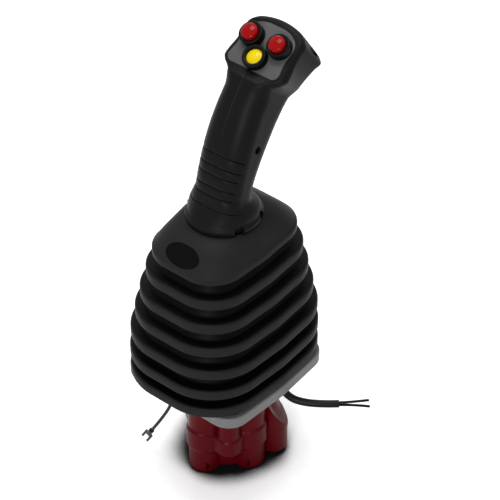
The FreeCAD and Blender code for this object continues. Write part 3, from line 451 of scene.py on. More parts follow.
# The rubber takes painted shade in its folds and towards the neck, through the point attribute below
BELLOWS_RUBBER = Finish("bellows_rubber", grey(0.016), grey(0.020), 0.46, Grain.RUBBER, specular=0.05,
                        shade="in_fold")
BADGE_BLACK = Finish("badge_black", grey(0.0010), grey(0.0016), 0.25, Grain.MOULDED, specular=0.06)
SEAL_RUBBER = Finish("seal_rubber", grey(0.006), grey(0.009), 0.60, Grain.RUBBER, specular=0.2)
CABLE_JACKET = Finish("cable_jacket", grey(0.0015), grey(0.0025), 0.30, Grain.RUBBER, specular=0.12)
CORE_INSULATION = Finish("core_insulation", grey(0.0020), grey(0.0030), 0.24, Grain.MOULDED, specular=0.12)
TINNED_COPPER = Finish("tinned_copper", grey(0.030), grey(0.045), 0.36, Grain.METAL,
                       metallic=0.6, specular=0.1)
GRIP_PLASTIC = Finish("grip_plastic", grey(0.0052), grey(0.0066), 0.42, Grain.MOULDED,
                      relief=0.03, specular=0.07)
PANEL_PLASTIC = Finish("panel_plastic", grey(0.082), grey(0.094), 0.55, Grain.MOULDED, specular=0.15)
BEZEL_PLASTIC = Finish("bezel_plastic", grey(0.0020), grey(0.0030), 0.36, Grain.MOULDED, specular=0.08)
SWITCH_PLASTIC = Finish("switch_plastic", grey(0.020), grey(0.026), 0.50, Grain.MOULDED)
CAP_RED = Finish("cap_red", (0.290, 0.000, 0.000), (0.330, 0.001, 0.001), 0.16, Grain.MOULDED,
                 relief=0.004, coat=0.12, specular=0.05)
CAP_YELLOW = Finish("cap_yellow", (0.780, 0.580, 0.004), (0.840, 0.640, 0.006), 0.16, Grain.MOULDED,
                    relief=0.004, coat=0.20, specular=0.05)


class Workshop:
    """Dresses pieces: gives each its finish, its body and the nodes it stands for."""

    def __init__(self) -> None:
        """Build the shared shader groups."""
        self.effects = SharedEffects()
        self.dressed: set[str] = set()

    def paint(self, piece: bpy.types.Object, finish: Finish) -> None:
        """Give a new piece its finish as its first material."""
        if piece.data.materials:
            piece.data.materials[0] = finish.material(self.effects)
        else:
            piece.data.materials.append(finish.material(self.effects))

    def stand_for(self, piece: bpy.types.Object, *nodes: str) -> None:
        """Let a piece stand for CAD nodes, and note it in the log."""
        if nodes:
            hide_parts(*nodes)
            self.dressed.update(nodes)
        log.info("%s: %d vertices", piece.name, len(getattr(piece.data, "vertices", [])))

    def dress(self, piece: bpy.types.Object, finish: Finish, body: str, *nodes: str) -> None:
        """Give a new rigid piece its finish and let it ride on a body.

        Args:
            piece: the new object.
            finish: its finish.
            body: name of the CAD body that carries it.
            nodes: CAD nodes it stands for.
        """
        self.paint(piece, finish)
        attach(piece, body)
        self.stand_for(piece, *nodes)

    def finish_node(self, name: str, finish: Finish) -> None:
        """Give a CAD node that is shown as it is its finish."""
        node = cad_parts[name]
        node.data.materials.clear()
        node.data.materials.append(finish.material(self.effects))
        self.dressed.add(name)


# Cast body

@dataclass
class ValveBody:
    """Cast body: one block whose outline is the soft maximum of round lobes, seen from above.

    At a bearing t each lobe (distance R, bearing p, radius q) reaches
    R cos(t - p) + sqrt(q^2 - R^2 sin^2(t - p)). The outline is the sum of these reaches and the
    core's, each to the power softness, put to the power 1 / softness.
    """

    # Bosses to the right, ahead, to the left and behind, and how much each widens upwards
    boss_distances: tuple[float, ...] = (22.6, 24.0, 20.4, 24.0)
    boss_radius: float = 11.9
    boss_swell: tuple[float, ...] = (0.0, 0.0, 3.6, 0.0)
    swell_foot: float = -78.0
    swell_top: float = -26.0
    # Lobes at the four corners, which grow over a short rise about their feet
    corner_distance: float = 27.5
    corner_radius: float = 8.2
    corner_feet: tuple[float, ...] = (-64.0, -64.0, -28.0, -64.0)
    corner_rise: tuple[float, float] = (-1.0, 4.0)
    # The core between the lobes: wide over its step, a web under it and a stub at the foot
    core_radius: float = 27.5
    core_step: tuple[float, float] = (-66.0, -60.0)
    web_radius: float = 25.0
    web_foot: float = -80.5
    stub_radius: float = 6.0
    foot: float = -83.0
    foot_chamfer: float = 1.2
    chamfer_dip: float = 0.2
    foot_ring: float = 0.3
    top: float = -0.12
    # The ears of the two side ports, each cut by a plane that falls outwards over its top
    ear_place: tuple[float, float] = (28.0, 21.0)
    ear_radius: float = 11.3
    ear_foot: float = -78.0
    ear_top: float = -57.0
    ear_slope: float = 0.61
    ear_least_cosine: float = 0.2
    # The skirt: how far the lobes stand out between the shoulder and the skirt's foot
    skirt_growth: float = 1.5
    shoulder: float = -43.0
    shoulder_drop: float = 4.5
    shoulder_half: float = 1.2
    skirt_foot: float = -60.0
    skirt_foot_drop: float = 3.0
    skirt_foot_rise: tuple[float, float] = (-2.5, 0.5)
    softness: float = 11.0
    # Points in a ring, height between rings, and how near two rings stand to a sudden step
    bearings: int = 360
    layer: float = 0.8
    step_gap: float = 0.02
    # For ports 1 to 4: the boss that carries the number, and the bearing that the number faces
    numbers: tuple[tuple[int, float], ...] = ((1, 135.0), (0, -52.0), (3, -41.0), (2, 135.0))
    number_size: float = 6.6
    number_height: float = -76.2
    number_rise: float = 0.8
    # Distances from the boss's middle where its surface is looked for: first, last, how many
    number_search: tuple[float, float, int] = (8.0, 20.0, 241)
    # Bores: (radius, depth) or, for the screws, (distance, radius, depth)
    port_distance: float = 25.0
    bore_radius: float = 6.58
    bore_length: float = 12.0
    spring_bore: tuple[float, float] = (7.5, 34.0)
    spool_bore: float = 3.1
    spool_bore_foot: float = 4.0
    spool_bore_overlap: float = 2.0
    screw_bore: tuple[float, float, float] = (29.0, 3.2, 26.0)
    stud_bore: tuple[float, float] = (5.1, 30.0)
    cutter_past: float = 1.0
    sharp: float = 38.0

    @staticmethod
    def lobe(bearing: np.ndarray, distance: float, place: float, radius: np.ndarray) -> np.ndarray:
        """How far out a round lobe reaches.

        Args:
            bearing: bearings about the middle axis.
            distance: distance of the lobe's middle from that axis.
            place: bearing of the lobe's middle.
            radius: radius of the lobe, shaped like bearing.

        Returns:
            The reach at each bearing; zero where the lobe isn't met.
        """
        aside = bearing - place
        inside = radius ** 2 - (distance * np.sin(aside)) ** 2
        reach = distance * np.cos(aside) + np.sqrt(np.maximum(inside, 0.0))
        return np.where((inside > 0.0) & (np.cos(aside) > 0.0), reach, 0.0)

    def ear(self, bearing: np.ndarray, z: np.ndarray, side: float) -> np.ndarray:
        """Reach of an ear, cut by a plane that falls outwards over its top.

        Args:
            bearing: bearings about the middle axis.
            z: heights, shaped like bearing.
            side: 1 for the ear on the right and -1 for the one on the left.

        Returns:
            The reach at each bearing and height.
        """
        x, y = self.ear_place
        place = math.atan2(y, side * x)
        distance = math.hypot(x, y)
        reach = self.lobe(bearing, distance, place, np.full_like(z, self.ear_radius))
        limit = distance + self.ear_radius - self.ear_slope * np.maximum(z - self.ear_top, 0.0)
        cut = limit / np.maximum(np.cos(bearing - place), self.ear_least_cosine)
        return np.where(z > self.ear_foot, np.minimum(reach, cut), 0.0)

    def outline_rings(self) -> np.ndarray:
        """Rings of the block from its foot up to the plate, with close pairs at sudden steps."""
        levels = np.arange(self.foot, self.top, self.layer)
        edges = np.array([self.ear_foot - self.step_gap, self.ear_foot + self.step_gap,
                          self.foot + self.foot_ring, self.top])
        levels = np.unique(np.round(np.concatenate([levels, edges]), 3))
        turn = np.linspace(0.0, TAU, self.bearings, endpoint=False)
        z, bearing = np.meshgrid(levels, turn, indexing="ij")
        r = self.reach(bearing, z)
        return np.stack([r * np.cos(bearing), r * np.sin(bearing), z], -1)

    def reach(self, bearing: np.ndarray, z: np.ndarray) -> np.ndarray:
        """Distance of the block's surface from the middle axis.

        The shoulder and the skirt's foot lie lower on the diagonals, by sin^2(2 t) times their drop.

        Args:
            bearing: bearings about the middle axis.
            z: heights, shaped like bearing.

        Returns:
            The distance at each bearing and height.
        """
        diagonal = np.sin(2.0 * bearing) ** 2
        shoulder = self.shoulder - self.shoulder_drop * diagonal
        skirt_foot = self.skirt_foot - self.skirt_foot_drop * diagonal
        below, above = self.skirt_foot_rise
        half = self.shoulder_half
        grown = self.skirt_growth * (1.0 - smooth_step(z, shoulder - half, shoulder + half))
        grown = grown * smooth_step(z, skirt_foot + below, skirt_foot + above)
        lifted = smooth_step(z, self.foot - self.chamfer_dip, self.foot + self.foot_chamfer)
        chamfer = self.foot_chamfer * (1.0 - lifted)
        core = self.web_radius + (self.core_radius - self.web_radius) * smooth_step(z, *self.core_step)
        reaches = [np.where(z > self.web_foot, core, self.stub_radius)]
        swelling = np.clip((z - self.swell_foot) / (self.swell_top - self.swell_foot), 0.0, 1.0)
        for number, distance in enumerate(self.boss_distances):
            radius = self.boss_radius + grown - chamfer + self.boss_swell[number] * swelling
            reaches.append(self.lobe(bearing, distance, number * math.pi / 2, radius))
        low, high = self.corner_rise
        for number, foot in enumerate(self.corner_feet):
            radius = (self.corner_radius + grown) * smooth_step(z, foot + low, foot + high)
            reaches.append(self.lobe(bearing, self.corner_distance, (number + 0.5) * math.pi / 2, radius))
        reaches += [self.ear(bearing, z, side) for side in SIDES.values()]
        return (np.array(reaches) ** self.softness).sum(0) ** (1.0 / self.softness)

    @staticmethod
    def bore(radius: float, low: float, high: float, x: float, y: float) -> bpy.types.Object:
        """Round upright tool of one radius, from one height to another, about (x, y)."""
        rings = turned(np.array([(radius, low), (radius, high)]), 48)
        return ring_piece("bore_cutter", rings + np.array([x, y, 0.0]))

    def bore_cutters(self) -> list[bpy.types.Object]:
        """Tools for the ports, the spring and spool bores, the screws and the fork's stud."""
        spring_radius, spring_depth = self.spring_bore
        distance, screw_radius, screw_depth = self.screw_bore
        past = self.cutter_past
        port_top = self.foot + self.bore_length
        ear_top = self.ear_foot + self.bore_length
        spool = (self.spool_bore, self.foot + self.spool_bore_foot, self.spool_bore_overlap - spring_depth)
        rows = []
        for number in range(len(self.boss_distances)):
            turn = number * math.pi / 2
            place = (self.port_distance * math.cos(turn), self.port_distance * math.sin(turn))
            rows.append((self.bore_radius, self.foot - past, port_top, *place))
            rows.append((spring_radius, -spring_depth, past, *place))
            rows.append((*spool, *place))
            turn += math.pi / 4
            place = (distance * math.cos(turn), distance * math.sin(turn))
            rows.append((screw_radius, -screw_depth, past, *place))
        x, y = self.ear_place
        for side in SIDES.values():
            rows.append((self.bore_radius, self.ear_foot - past, ear_top, side * x, y))
        stud_radius, stud_depth = self.stud_bore
        rows.append((stud_radius, -stud_depth, past, 0.0, 0.0))
        return [self.bore(*row) for row in rows]

    def port_number(self, number: int, boss: int, facing: float) -> bpy.types.Object:
        """Raised number of a port, standing where a line from the boss's middle leaves the block.

        Args:
            number: the number shown.
            boss: which boss carries it, as in boss_distances.
            facing: bearing in radians that it faces.

        Returns:
            The number's mesh object.
        """
        name = "port_number_%d" % number
        data = bpy.data.curves.new(name, "FONT")
        data.body = str(number)
        data.size = self.number_size * MM
        data.extrude = self.number_rise * MM
        data.align_x = "CENTER"
        data.align_y = "CENTER"
        letter = bpy.data.objects.new(name, data)
        mesh = bpy.data.meshes.new_from_object(letter)
        bpy.data.objects.remove(letter)
        turn, distance = boss * math.pi / 2, self.boss_distances[boss]
        out = Vector((math.cos(facing), math.sin(facing), 0.0))
        side = Vector((-math.sin(facing), math.cos(facing), 0.0))
        start = Vector((distance * math.cos(turn), distance * math.sin(turn), self.number_height))
        steps = np.linspace(*self.number_search)
        x, y = start.x + out.x * steps, start.y + out.y * steps
        inside = np.hypot(x, y) < self.reach(np.arctan2(y, x), np.full_like(x, self.number_height))
        middle = start + out * float(steps[inside].max())
        axes = Matrix((side, Vector((0.0, 0.0, 1.0)), out)).transposed()
        mesh.transform(Matrix.Translation(middle * MM) @ axes.to_4x4())
        return finished_object(name, mesh, 30.0)

    def build(self, shop: Workshop) -> None:
        """Make the block with its bores and the raised numbers of its ports."""
        body = ring_piece("cast_body", self.outline_rings(), sharp=self.sharp)
        cut_away(body, self.bore_cutters(), sharp=self.sharp)
        shop.dress(body, BODY_PAINT, "valve", "valve_body")
        for number, (boss, facing) in enumerate(self.numbers, 1):
            # Each number takes the darker copy of the body paint, which is painted shade
            shop.dress(self.port_number(number, boss, math.radians(facing)), PORT_NUMBER_PAINTED_SHADE, "valve")


# Bellows

@dataclass
class Bellows:
    """Moulded rubber bellows: seven ridges, a crowned top with a neck, and a bare oval recess.

    It is made as a lower and an upper half, because the lever leans about two axes one after
    the other: the lower half is for the first axis and the upper half for the second, though
    nothing here bends them.
    """

    # Half width at the ends, distances in front and behind, height of the lower edge, corner radius
    ridges: tuple[tuple[float, ...], ...] = (
        (50.9, 69.4, 68.8, 11.2, 41.9),
        (50.9, 69.4, 68.8, 28.0, 41.9),
        (50.5, 68.4, 68.1, 46.2, 41.5),
        (47.2, 64.7, 64.8, 64.2, 38.0),
        (43.4, 60.7, 60.9, 82.2, 33.8),
        (39.7, 55.9, 57.4, 100.1, 30.3),
        (35.2, 51.3, 53.2, 118.3, 25.9),
    )
    # A ridge from the groove under it to the groove over it: inset, height, share of painted shade
    ridge_profile: tuple[tuple[float, float, float], ...] = (
        (8.8, -2.2, 1.0), (7.6, -1.0, 1.0), (2.4, 0.0, 1.0), (0.5, 0.05, 1.0), (0.1, 0.2, 0.7),
        (0.0, 0.5, 0.1), (0.0, 1.4, 0.0), (0.0, 6.0, 0.0), (0.25, 6.8, 0.05), (0.75, 7.4, 0.35),
        (1.3, 7.7, 0.75), (2.3, 7.9, 1.0), (6.8, 8.1, 1.0), (8.3, 8.8, 1.0), (8.9, 9.9, 1.0),
    )
    # The top ridge has the same rows up to its face, then its own rows up to the crowned top
    face_row: int = 7
    top_rows: tuple[tuple[float, float, float], ...] = (
        (0.0, 4.4, 0.0), (0.2, 5.1, 0.0), (0.6, 5.65, 0.0), (1.2, 6.1, 0.0),
    )
    bulge_slope: float = 0.058
    kink_radius: float = 60.0
    wall: float = 2.0
    groove_inset: float = 8.9
    # The foot on the plate, under the lowest ridge
    foot_inset: float = 4.0
    foot_edge: float = 9.2
    foot_drop: float = 1.5
    inner_rise: float = 4.0
    arc_steps: int = 20
    run_steps: int = 5
    plate_half_length: float = 55.0
    plate_half_width_end: float = 51.7
    plate_corner: float = 16.0
    plate_top: float = 8.5
    # The crowned top and the neck, with painted shade that darkens it towards the grip
    crown_power: float = 2.0
    crown_steps: int = 18
    inner_crown_cut: int = 4
    neck_shade: float = 0.45
    neck_shade_start: float = 0.45
    neck_outer: float = 25.0
    neck_inner: float = 22.8
    neck_top: float = 140.9
    # Where the two halves meet, and the heights between which the lever would bend them
    split_ridge: int = 3
    split_drop: float = 3.4
    bend_low: float = 12.0
    bend_high: float = 118.0
    badge_half: tuple[float, float] = (14.5, 8.3)
    badge_way: float = 0.22
    badge_depth: float = 0.7
    badge_over: float = 6.0
    badge_points: int = 72

    def outline(self, half_end: float, front: float, back: float, corner: float, z: float) -> np.ndarray:
        """Ring of the bellows at one height.

        A six-cornered loop whose two long sides bend at mid length, by bulge_slope times the
        distance from there, with every corner rounded.

        Args:
            half_end: half width at the front end.
            front: distance of the front end from the middle.
            back: distance of the back end from the middle.
            corner: radius of the four end corners.
            z: height of the ring.

        Returns:
            The ring's points (x, y, z).
        """
        mid = half_end + self.bulge_slope * front
        half_back = mid - self.bulge_slope * back
        corners = np.array([(-half_end, -front), (half_end, -front), (mid, 0.0),
                            (half_back, back), (-half_back, back), (-mid, 0.0)])
        radii = np.array([corner, corner, self.kink_radius, corner, corner, self.kink_radius])
        flat = rounded_loop(corners, radii, self.arc_steps, self.run_steps)
        return np.column_stack([flat, np.full(len(flat), z)])

    def ridge_ring(self, index: int, inset: float, z: float) -> np.ndarray:
        """Ring drawn in from a ridge's outline by an inset."""
        half_end, front, back, _, corner = self.ridges[index]
        return self.outline(half_end - inset, front - inset, back - inset, corner - inset, z)

    def profile(self, index: int) -> tuple[tuple[float, float, float], ...]:
        """Rows of a ridge, which are its own for the top one."""
        if index < len(self.ridges) - 1:
            return self.ridge_profile
        return self.ridge_profile[:self.face_row] + self.top_rows

    def ridge_rings(self, index: int) -> list[np.ndarray]:
        """Rings of one whole ridge, from the groove under it upwards."""
        z = self.ridges[index][3]
        return [self.ridge_ring(index, inset, z + rise) for inset, rise, _ in self.profile(index)]

    def foot_ring(self, inset: float, z: float) -> np.ndarray:
        """Ring drawn in from the plate's outline by an inset."""
        front = self.plate_half_length - inset
        return self.outline(self.plate_half_width_end - inset, front, front, self.plate_corner - inset, z)

    def crown_rings(self, lowered: float, neck: float) -> list[np.ndarray]:
        """Rings of the crowned top, from the last ridge's upper edge in to the neck.

        Each point goes in a straight line, seen from above, from the edge to the neck's
        circle at the same bearing. Its height is neck top - rise * (1 - way) ^ power.

        Args:
            lowered: how far the rings lie under the outer surface.
            neck: radius of the neck's circle.

        Returns:
            The rings, from the edge's side to the neck.
        """
        inset, rise, _ = self.top_rows[-1]
        low = self.ridges[-1][3] + rise
        rim = self.ridge_ring(-1, inset, 0.0)
        bearing = np.arctan2(rim[:, 1], rim[:, 0])
        circle = np.column_stack([neck * np.cos(bearing), neck * np.sin(bearing), rim[:, 2]])
        rings = []
        for way in np.linspace(0.0, 1.0, self.crown_steps)[1:]:
            ring = rim * (1.0 - way) + circle * way
            ring[:, 2] = self.neck_top - (self.neck_top - low) * (1.0 - way) ** self.crown_power - lowered
            rings.append(ring)
        return rings

    def inner_rings(self, levels: list[int]) -> list[np.ndarray]:
        """Rings of the smooth inside wall at the ridges named, from the top down."""
        inset = self.groove_inset + self.wall
        return [self.ridge_ring(k, inset, self.ridges[k][3] + self.inner_rise) for k in reversed(levels)]

    def lower_rings(self) -> np.ndarray:
        """Rings of the lower half, up its outside and down its inside."""
        levels = (self.plate_top, self.foot_edge, self.ridges[0][3] - self.foot_drop)
        rings = [self.foot_ring(self.foot_inset, z) for z in levels]
        for index in range(self.split_ridge):
            rings += self.ridge_rings(index)
        rings += self.split_rings()
        rings += self.inner_rings(list(range(self.split_ridge)))
        rings.append(self.foot_ring(self.foot_inset + self.wall, self.plate_top))
        return np.array(rings)

    def split_height(self) -> float:
        """Height in the groove where the two halves meet."""
        return self.ridges[self.split_ridge][3] - self.split_drop

    def split_rings(self) -> list[np.ndarray]:
        """The outer and inner ring where the two halves meet, in the groove between two ridges."""
        z = self.split_height()
        outer = self.ridge_ring(self.split_ridge, self.groove_inset, z)
        inner = self.ridge_ring(self.split_ridge, self.groove_inset + self.wall, z)
        return [outer, inner]

    def upper_rings(self) -> np.ndarray:
        """Rings of the upper half, up its outside, over the neck and down its inside."""
        outer, inner = self.split_rings()
        rings = [outer]
        for index in range(self.split_ridge, len(self.ridges)):
            rings += self.ridge_rings(index)
        rings += self.crown_rings(0.0, self.neck_outer)
        rings += self.crown_rings(self.wall, self.neck_inner)[::-1][:-self.inner_crown_cut]
        rings += self.inner_rings(list(range(self.split_ridge, len(self.ridges))))
        rings.append(inner)
        return np.array(rings)

    def shade_rings(self, piece: bpy.types.Object, shares: list[float]) -> None:
        """Write each ring's share of painted shade to the piece's points.

        Args:
            piece: a half of the bellows, made of rings.
            shares: share of painted shade of each ring from the first; the rings past the list are fully
                darkened.
        """
        points = len(self.ridge_ring(0, 0.0, 0.0))
        rings = len(piece.data.vertices) // points
        values = np.repeat(np.array(shares + [1.0] * (rings - len(shares))), points)
        layer = piece.data.attributes.new(BELLOWS_RUBBER.shade, "FLOAT", "POINT")
        layer.data.foreach_set("value", values)

    def badge_cutter(self, shop: Workshop) -> bpy.types.Object:
        """Oval tool that sinks the bare recess into the slope in front of the grip.

        Its rings are one ellipse (a cos t, b sin t), laid on the slope at badge_way.

        Args:
            shop: the workshop, for the recess's dark finish.

        Returns:
            The tool, whose own finish the recess takes.
        """
        inset, rise, _ = self.top_rows[-1]
        run = self.ridges[-1][1] - inset - self.neck_outer
        climb = self.neck_top - self.ridges[-1][3] - rise
        y = -self.neck_outer - run * (1.0 - self.badge_way)
        z = self.neck_top - climb * (1.0 - self.badge_way) ** self.crown_power
        slope = math.atan(climb * self.crown_power * (1.0 - self.badge_way) ** (self.crown_power - 1.0) / run)
        bearing = np.linspace(0.0, TAU, self.badge_points, endpoint=False)
        a, b = self.badge_half
        flat = np.column_stack([a * np.cos(bearing), b * np.sin(bearing), np.zeros_like(bearing)])
        rings = np.array([flat + np.array([0.0, 0.0, h]) for h in (-self.badge_depth, self.badge_over)])
        turn = np.array(Matrix.Rotation(slope, 3, "X"))
        cutter = ring_piece("badge_cutter", rings @ turn.T + np.array([0.0, y, z]))
        cutter.data.materials.append(BADGE_BLACK.material(shop.effects))
        return cutter

    def build(self, shop: Workshop) -> None:
        """Make both halves and sink the oval recess."""
        lower = ring_piece("bellows_lower", self.lower_rings(), closed=True, sharp=60.0)
        upper = ring_piece("bellows_upper", self.upper_rings(), closed=True, sharp=60.0)
        # Painted shade: the grooves and ledges between the ridges, the foot and the inside are darkened
        # towards near black, while the ridges' faces keep the rubber's colour
        shares = [[row[2] for row in self.profile(index)] for index in range(len(self.ridges))]
        self.shade_rings(lower, [1.0] * 3 + sum(shares[:self.split_ridge], []))
        # Painted shade on the crowned top, growing towards the neck under the grip
        way = np.linspace(0.0, 1.0, self.crown_steps)[1:]
        crown = (self.neck_shade * smooth_step(way, self.neck_shade_start, 1.0)).tolist()
        self.shade_rings(upper, [1.0] + sum(shares[self.split_ridge:], []) + crown)
        for half in (lower, upper):
            shop.paint(half, BELLOWS_RUBBER)
            shop.stand_for(half, "bellows")
        cut_away(upper, [self.badge_cutter(shop)], sharp=50.0)
        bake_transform(lower)
        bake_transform(upper)


# Grip

@dataclass
class HeadPlane:
    """Plane of the button panel: its origin is the lower button's centre."""

    y: float = 34.2
    z: float = 252.1
    rise: float = 34.0

    def to_frame(self, points: np.ndarray) -> np.ndarray:
        """Points (across, up the panel, out of it) carried into the part's frame."""
        a = math.radians(self.rise)
        x, s, n = np.moveaxis(points, -1, 0)
        return np.stack([x, self.y + s * math.cos(a) - n * math.sin(a),
                         self.z + s * math.sin(a) + n * math.cos(a)], -1)

    def in_side_view(self, s: float, n: float) -> tuple[float, float]:
        """Side-view place (y, z) of a point at s up the panel and n out of it."""
        place = self.to_frame(np.array([0.0, s, n]))
        return float(place[1]), float(place[2])


@dataclass
class Grip:
    """Two-shell grip, worked out as sections from the round foot up to the head's top.

    A section stands between a front point and a back point in the side view. It is a
    four-cornered loop on one side of the middle plane: straight front, side and back, with
    rounded corners, and the front crowned by a parabola.
    """

    head: HeadPlane
    arc_y: float = 152.9
    arc_z: float = 118.4
    arc_radius: float = 160.0
    # The foot, from its underside up: front (y, z), back (y, z), half width, corner radii
    foot: tuple[tuple[float, ...], ...] = (
        (-26.4, 141.4, 26.4, 141.4, 26.4, 26.2, 26.2),
        (-27.3, 141.8, 27.3, 141.8, 27.3, 27.1, 27.1),
        (-27.6, 142.6, 27.6, 142.6, 27.6, 27.4, 27.4),
        (-27.6, 144.2, 27.6, 144.2, 27.6, 27.4, 27.4),
        (-27.3, 145.2, 27.3, 145.0, 27.3, 27.1, 27.1),
        (-26.5, 146.2, 26.5, 145.6, 26.6, 26.3, 26.3),
        (-25.2, 147.5, 25.6, 146.6, 26.0, 24.8, 25.0),
        (-23.0, 149.9, 24.5, 148.6, 25.7, 22.0, 23.6),
        (-20.8, 152.8, 22.6, 150.6, 25.0, 19.0, 21.5),
        (-19.1, 155.8, 19.6, 152.6, 23.7, 16.0, 19.0),
        (-18.1, 158.8, 16.4, 154.6, 21.9, 13.0, 16.0),
        (-17.2, 161.9, 14.2, 156.6, 20.3, 10.8, 14.0),
    )
    # The handle: lean in degrees, half depth, half width
    handle: tuple[tuple[float, float, float], ...] = (
        (16.6, 15.7, 19.5), (20.0, 16.4, 19.5), (23.5, 17.2, 19.5), (27.0, 18.2, 19.4), (30.5, 19.2, 19.2),
        (34.0, 20.1, 18.9), (37.5, 20.9, 18.5), (41.0, 21.5, 18.3),
    )
    handle_front_corner: float = 12.5
    handle_back_corner: float = 14.0
    # Neck and head: front (up, out), back (up, out), half widths front and back, corner radii
    crown: tuple[tuple[float, ...], ...] = (
        (-14.4, 1.5, -4.6, -41.6, 18.9, 18.0, 8.0, 13.0),
        (-11.0, 0.6, -1.6, -40.4, 21.9, 18.4, 6.6, 12.5),
        (-7.6, 0.0, 1.4, -39.2, 26.2, 19.2, 5.0, 12.0),
        (-4.0, 0.0, 4.4, -38.2, 28.2, 20.2, 4.6, 11.0),
        (2.0, 0.0, 9.4, -37.2, 27.4, 21.6, 4.4, 10.0),
        (9.0, 0.0, 15.2, -37.0, 25.8, 23.0, 4.2, 9.0),
        (17.0, 0.0, 22.6, -37.0, 25.2, 24.6, 4.0, 8.0),
        (24.0, 0.0, 28.2, -36.6, 25.4, 25.8, 4.0, 7.0),
        (28.5, 0.0, 31.0, -36.0, 24.9, 26.0, 4.0, 6.0),
        (31.0, -0.1, 32.4, -35.2, 23.3, 25.2, 4.0, 5.5),
        (32.9, -0.9, 33.4, -33.8, 20.9, 23.4, 4.0, 5.0),
        (34.0, -2.6, 34.0, -31.0, 17.6, 19.6, 4.0, 5.0),
        (34.5, -5.6, 34.4, -26.5, 12.6, 13.8, 4.0, 5.0),
    )
    top_drop: float = 5.0
    top_drop_width: float = 24.0
    top_drop_range: tuple[float, float] = (18.0, 33.0)
    front_crown: float = 1.6
    front_crown_full: float = 0.9
    seam_gap: float = 0.03
    seam_corner: float = 0.02
    corner_limit: float = 0.98
    rings_between: int = 6
    loop_steps: int = 14
    groove_leans: tuple[float, ...] = (12.9, 15.9, 18.1, 21.0, 23.2, 26.0)
    groove_depth: float = 0.9
    groove_half_width: float = 0.40
    groove_half_depth: float = 16.0
    # Rings about each groove, in its half widths
    groove_rings: tuple[float, ...] = (-1.5, -1.0, -0.6, -0.25, 0.25, 0.6, 1.0, 1.5)
    # Where the grooves fade in: distance to the front of the section's middle, and to its side
    groove_fade: tuple[float, float] = (8.5, 10.1)
    groove_side_fade: tuple[float, float] = (12.5, 18.5)
    seam_depth: float = 0.45
    seam_half_width: float = 0.5
    # Leans where the seam starts, is whole, starts to end and is gone
    seam_leans: tuple[float, float, float, float] = (27.0, 31.0, 48.0, 51.0)
    seam_fade: tuple[float, float] = (4.0, 8.0)
    notch_angles: tuple[float, ...] = (26.0, 154.0, 206.0, 334.0)
    notch_radius: float = 3.6
    notch_height: float = 144.0
    notch_reach: tuple[float, float] = (24.0, 32.0)
    screw_lean: float = 29.5
    screw_recess_radius: float = 2.9
    screw_recess_reach: tuple[float, float] = (16.5, 26.0)
    slot_up: float = 27.5
    slot_depth_range: tuple[float, float] = (13.0, 25.0)
    slot_half_width: float = 1.3
    slot_reach: tuple[float, float] = (21.5, 30.0)
    slot_corner: float = 0.95
    cutter_steps: int = 40
    sharp: float = 48.0

    def handle_station(self, lean: float, half: float, wide: float) -> tuple[float, ...]:
        """Section of the handle in a plane through the arc's centre.

        Args:
            lean: angle of the plane in degrees.
            half: half depth of the section.
            wide: half width of the section.

        Returns:
            A row as in stations.
        """
        a = math.radians(lean)
        front, back = self.arc_radius + half, self.arc_radius - half
        return (self.arc_y - front * math.cos(a), self.arc_z + front * math.sin(a),
                self.arc_y - back * math.cos(a), self.arc_z + back * math.sin(a),
                wide, wide, self.handle_front_corner, self.handle_back_corner)

    def stations(self) -> np.ndarray:
        """All sections as rows: front y z, back y z, half widths front and back, corner radii."""
        rows = [(fy, fz, by, bz, half, half, rf, rb) for fy, fz, by, bz, half, rf, rb in self.foot]
        rows += [self.handle_station(*row) for row in self.handle]
        for fs, fn, bs, bn, wide, narrow, rf, rb in self.crown:
            front, back = self.head.in_side_view(fs, fn), self.head.in_side_view(bs, bn)
            rows.append((*front, *back, wide, narrow, rf, rb))
        return np.array(rows)

    def lean_of(self, y: np.ndarray, z: np.ndarray) -> np.ndarray:
        """Lean in degrees of a side-view point about the arc's centre."""
        return np.degrees(np.arctan2(z - self.arc_z, self.arc_y - y))

    def section_parameters(self, table: np.ndarray) -> np.ndarray:
        """Where to place rings: evenly, and closely about each groove."""
        even = np.linspace(0.0, len(table) - 1.0, self.rings_between * (len(table) - 1) + 1)
        rows = through_stations(table, even)
        lean = self.lean_of(rows[:, 0], rows[:, 1])
        spread = np.array(self.groove_rings) * self.groove_half_width
        front = self.arc_radius + self.groove_half_depth
        wanted = np.array(self.groove_leans)[:, None] + np.degrees(spread / front)
        extra = np.interp(wanted.ravel(), lean, even)
        return np.unique(np.round(np.concatenate([even, extra]), 4))

    def half_rings(self) -> np.ndarray:
        """Rings of the right-hand shell, each a closed loop from the seam round the side and back."""
        table = self.stations()
        rows = through_stations(table, self.section_parameters(table))
        front, back = rows[:, 0:2], rows[:, 2:4]
        depth = np.linalg.norm(front - back, axis=1)
        wide, narrow, front_corner, back_corner = rows[:, 4], rows[:, 5], rows[:, 6], rows[:, 7]
        half = 0.5 * depth
        zero = np.full_like(half, self.seam_gap)
        corners = np.stack([np.stack([zero, -half], -1), np.stack([narrow, -half], -1),
                            np.stack([wide, half], -1), np.stack([zero, half], -1)], axis=1)
        limit = np.minimum(half, np.minimum(wide, narrow)) * self.corner_limit
        tiny = np.full_like(half, self.seam_corner)
        radii = np.stack([tiny, np.minimum(back_corner, limit), np.minimum(front_corner, limit), tiny], -1)
        loops = rounded_loop(corners, radii, self.loop_steps, self.loop_steps)
        x, n = loops[..., 0], loops[..., 1]
        n = n - self.front_bow(x, n, wide[:, None], half[:, None])
        outward = unit(front - back)
        middle = 0.5 * (front + back)
        y = middle[:, 0, None] + n * outward[:, 0, None]
        z = middle[:, 1, None] + n * outward[:, 1, None]
        return self.with_grooves(np.stack([x, y, z], -1), n, outward)

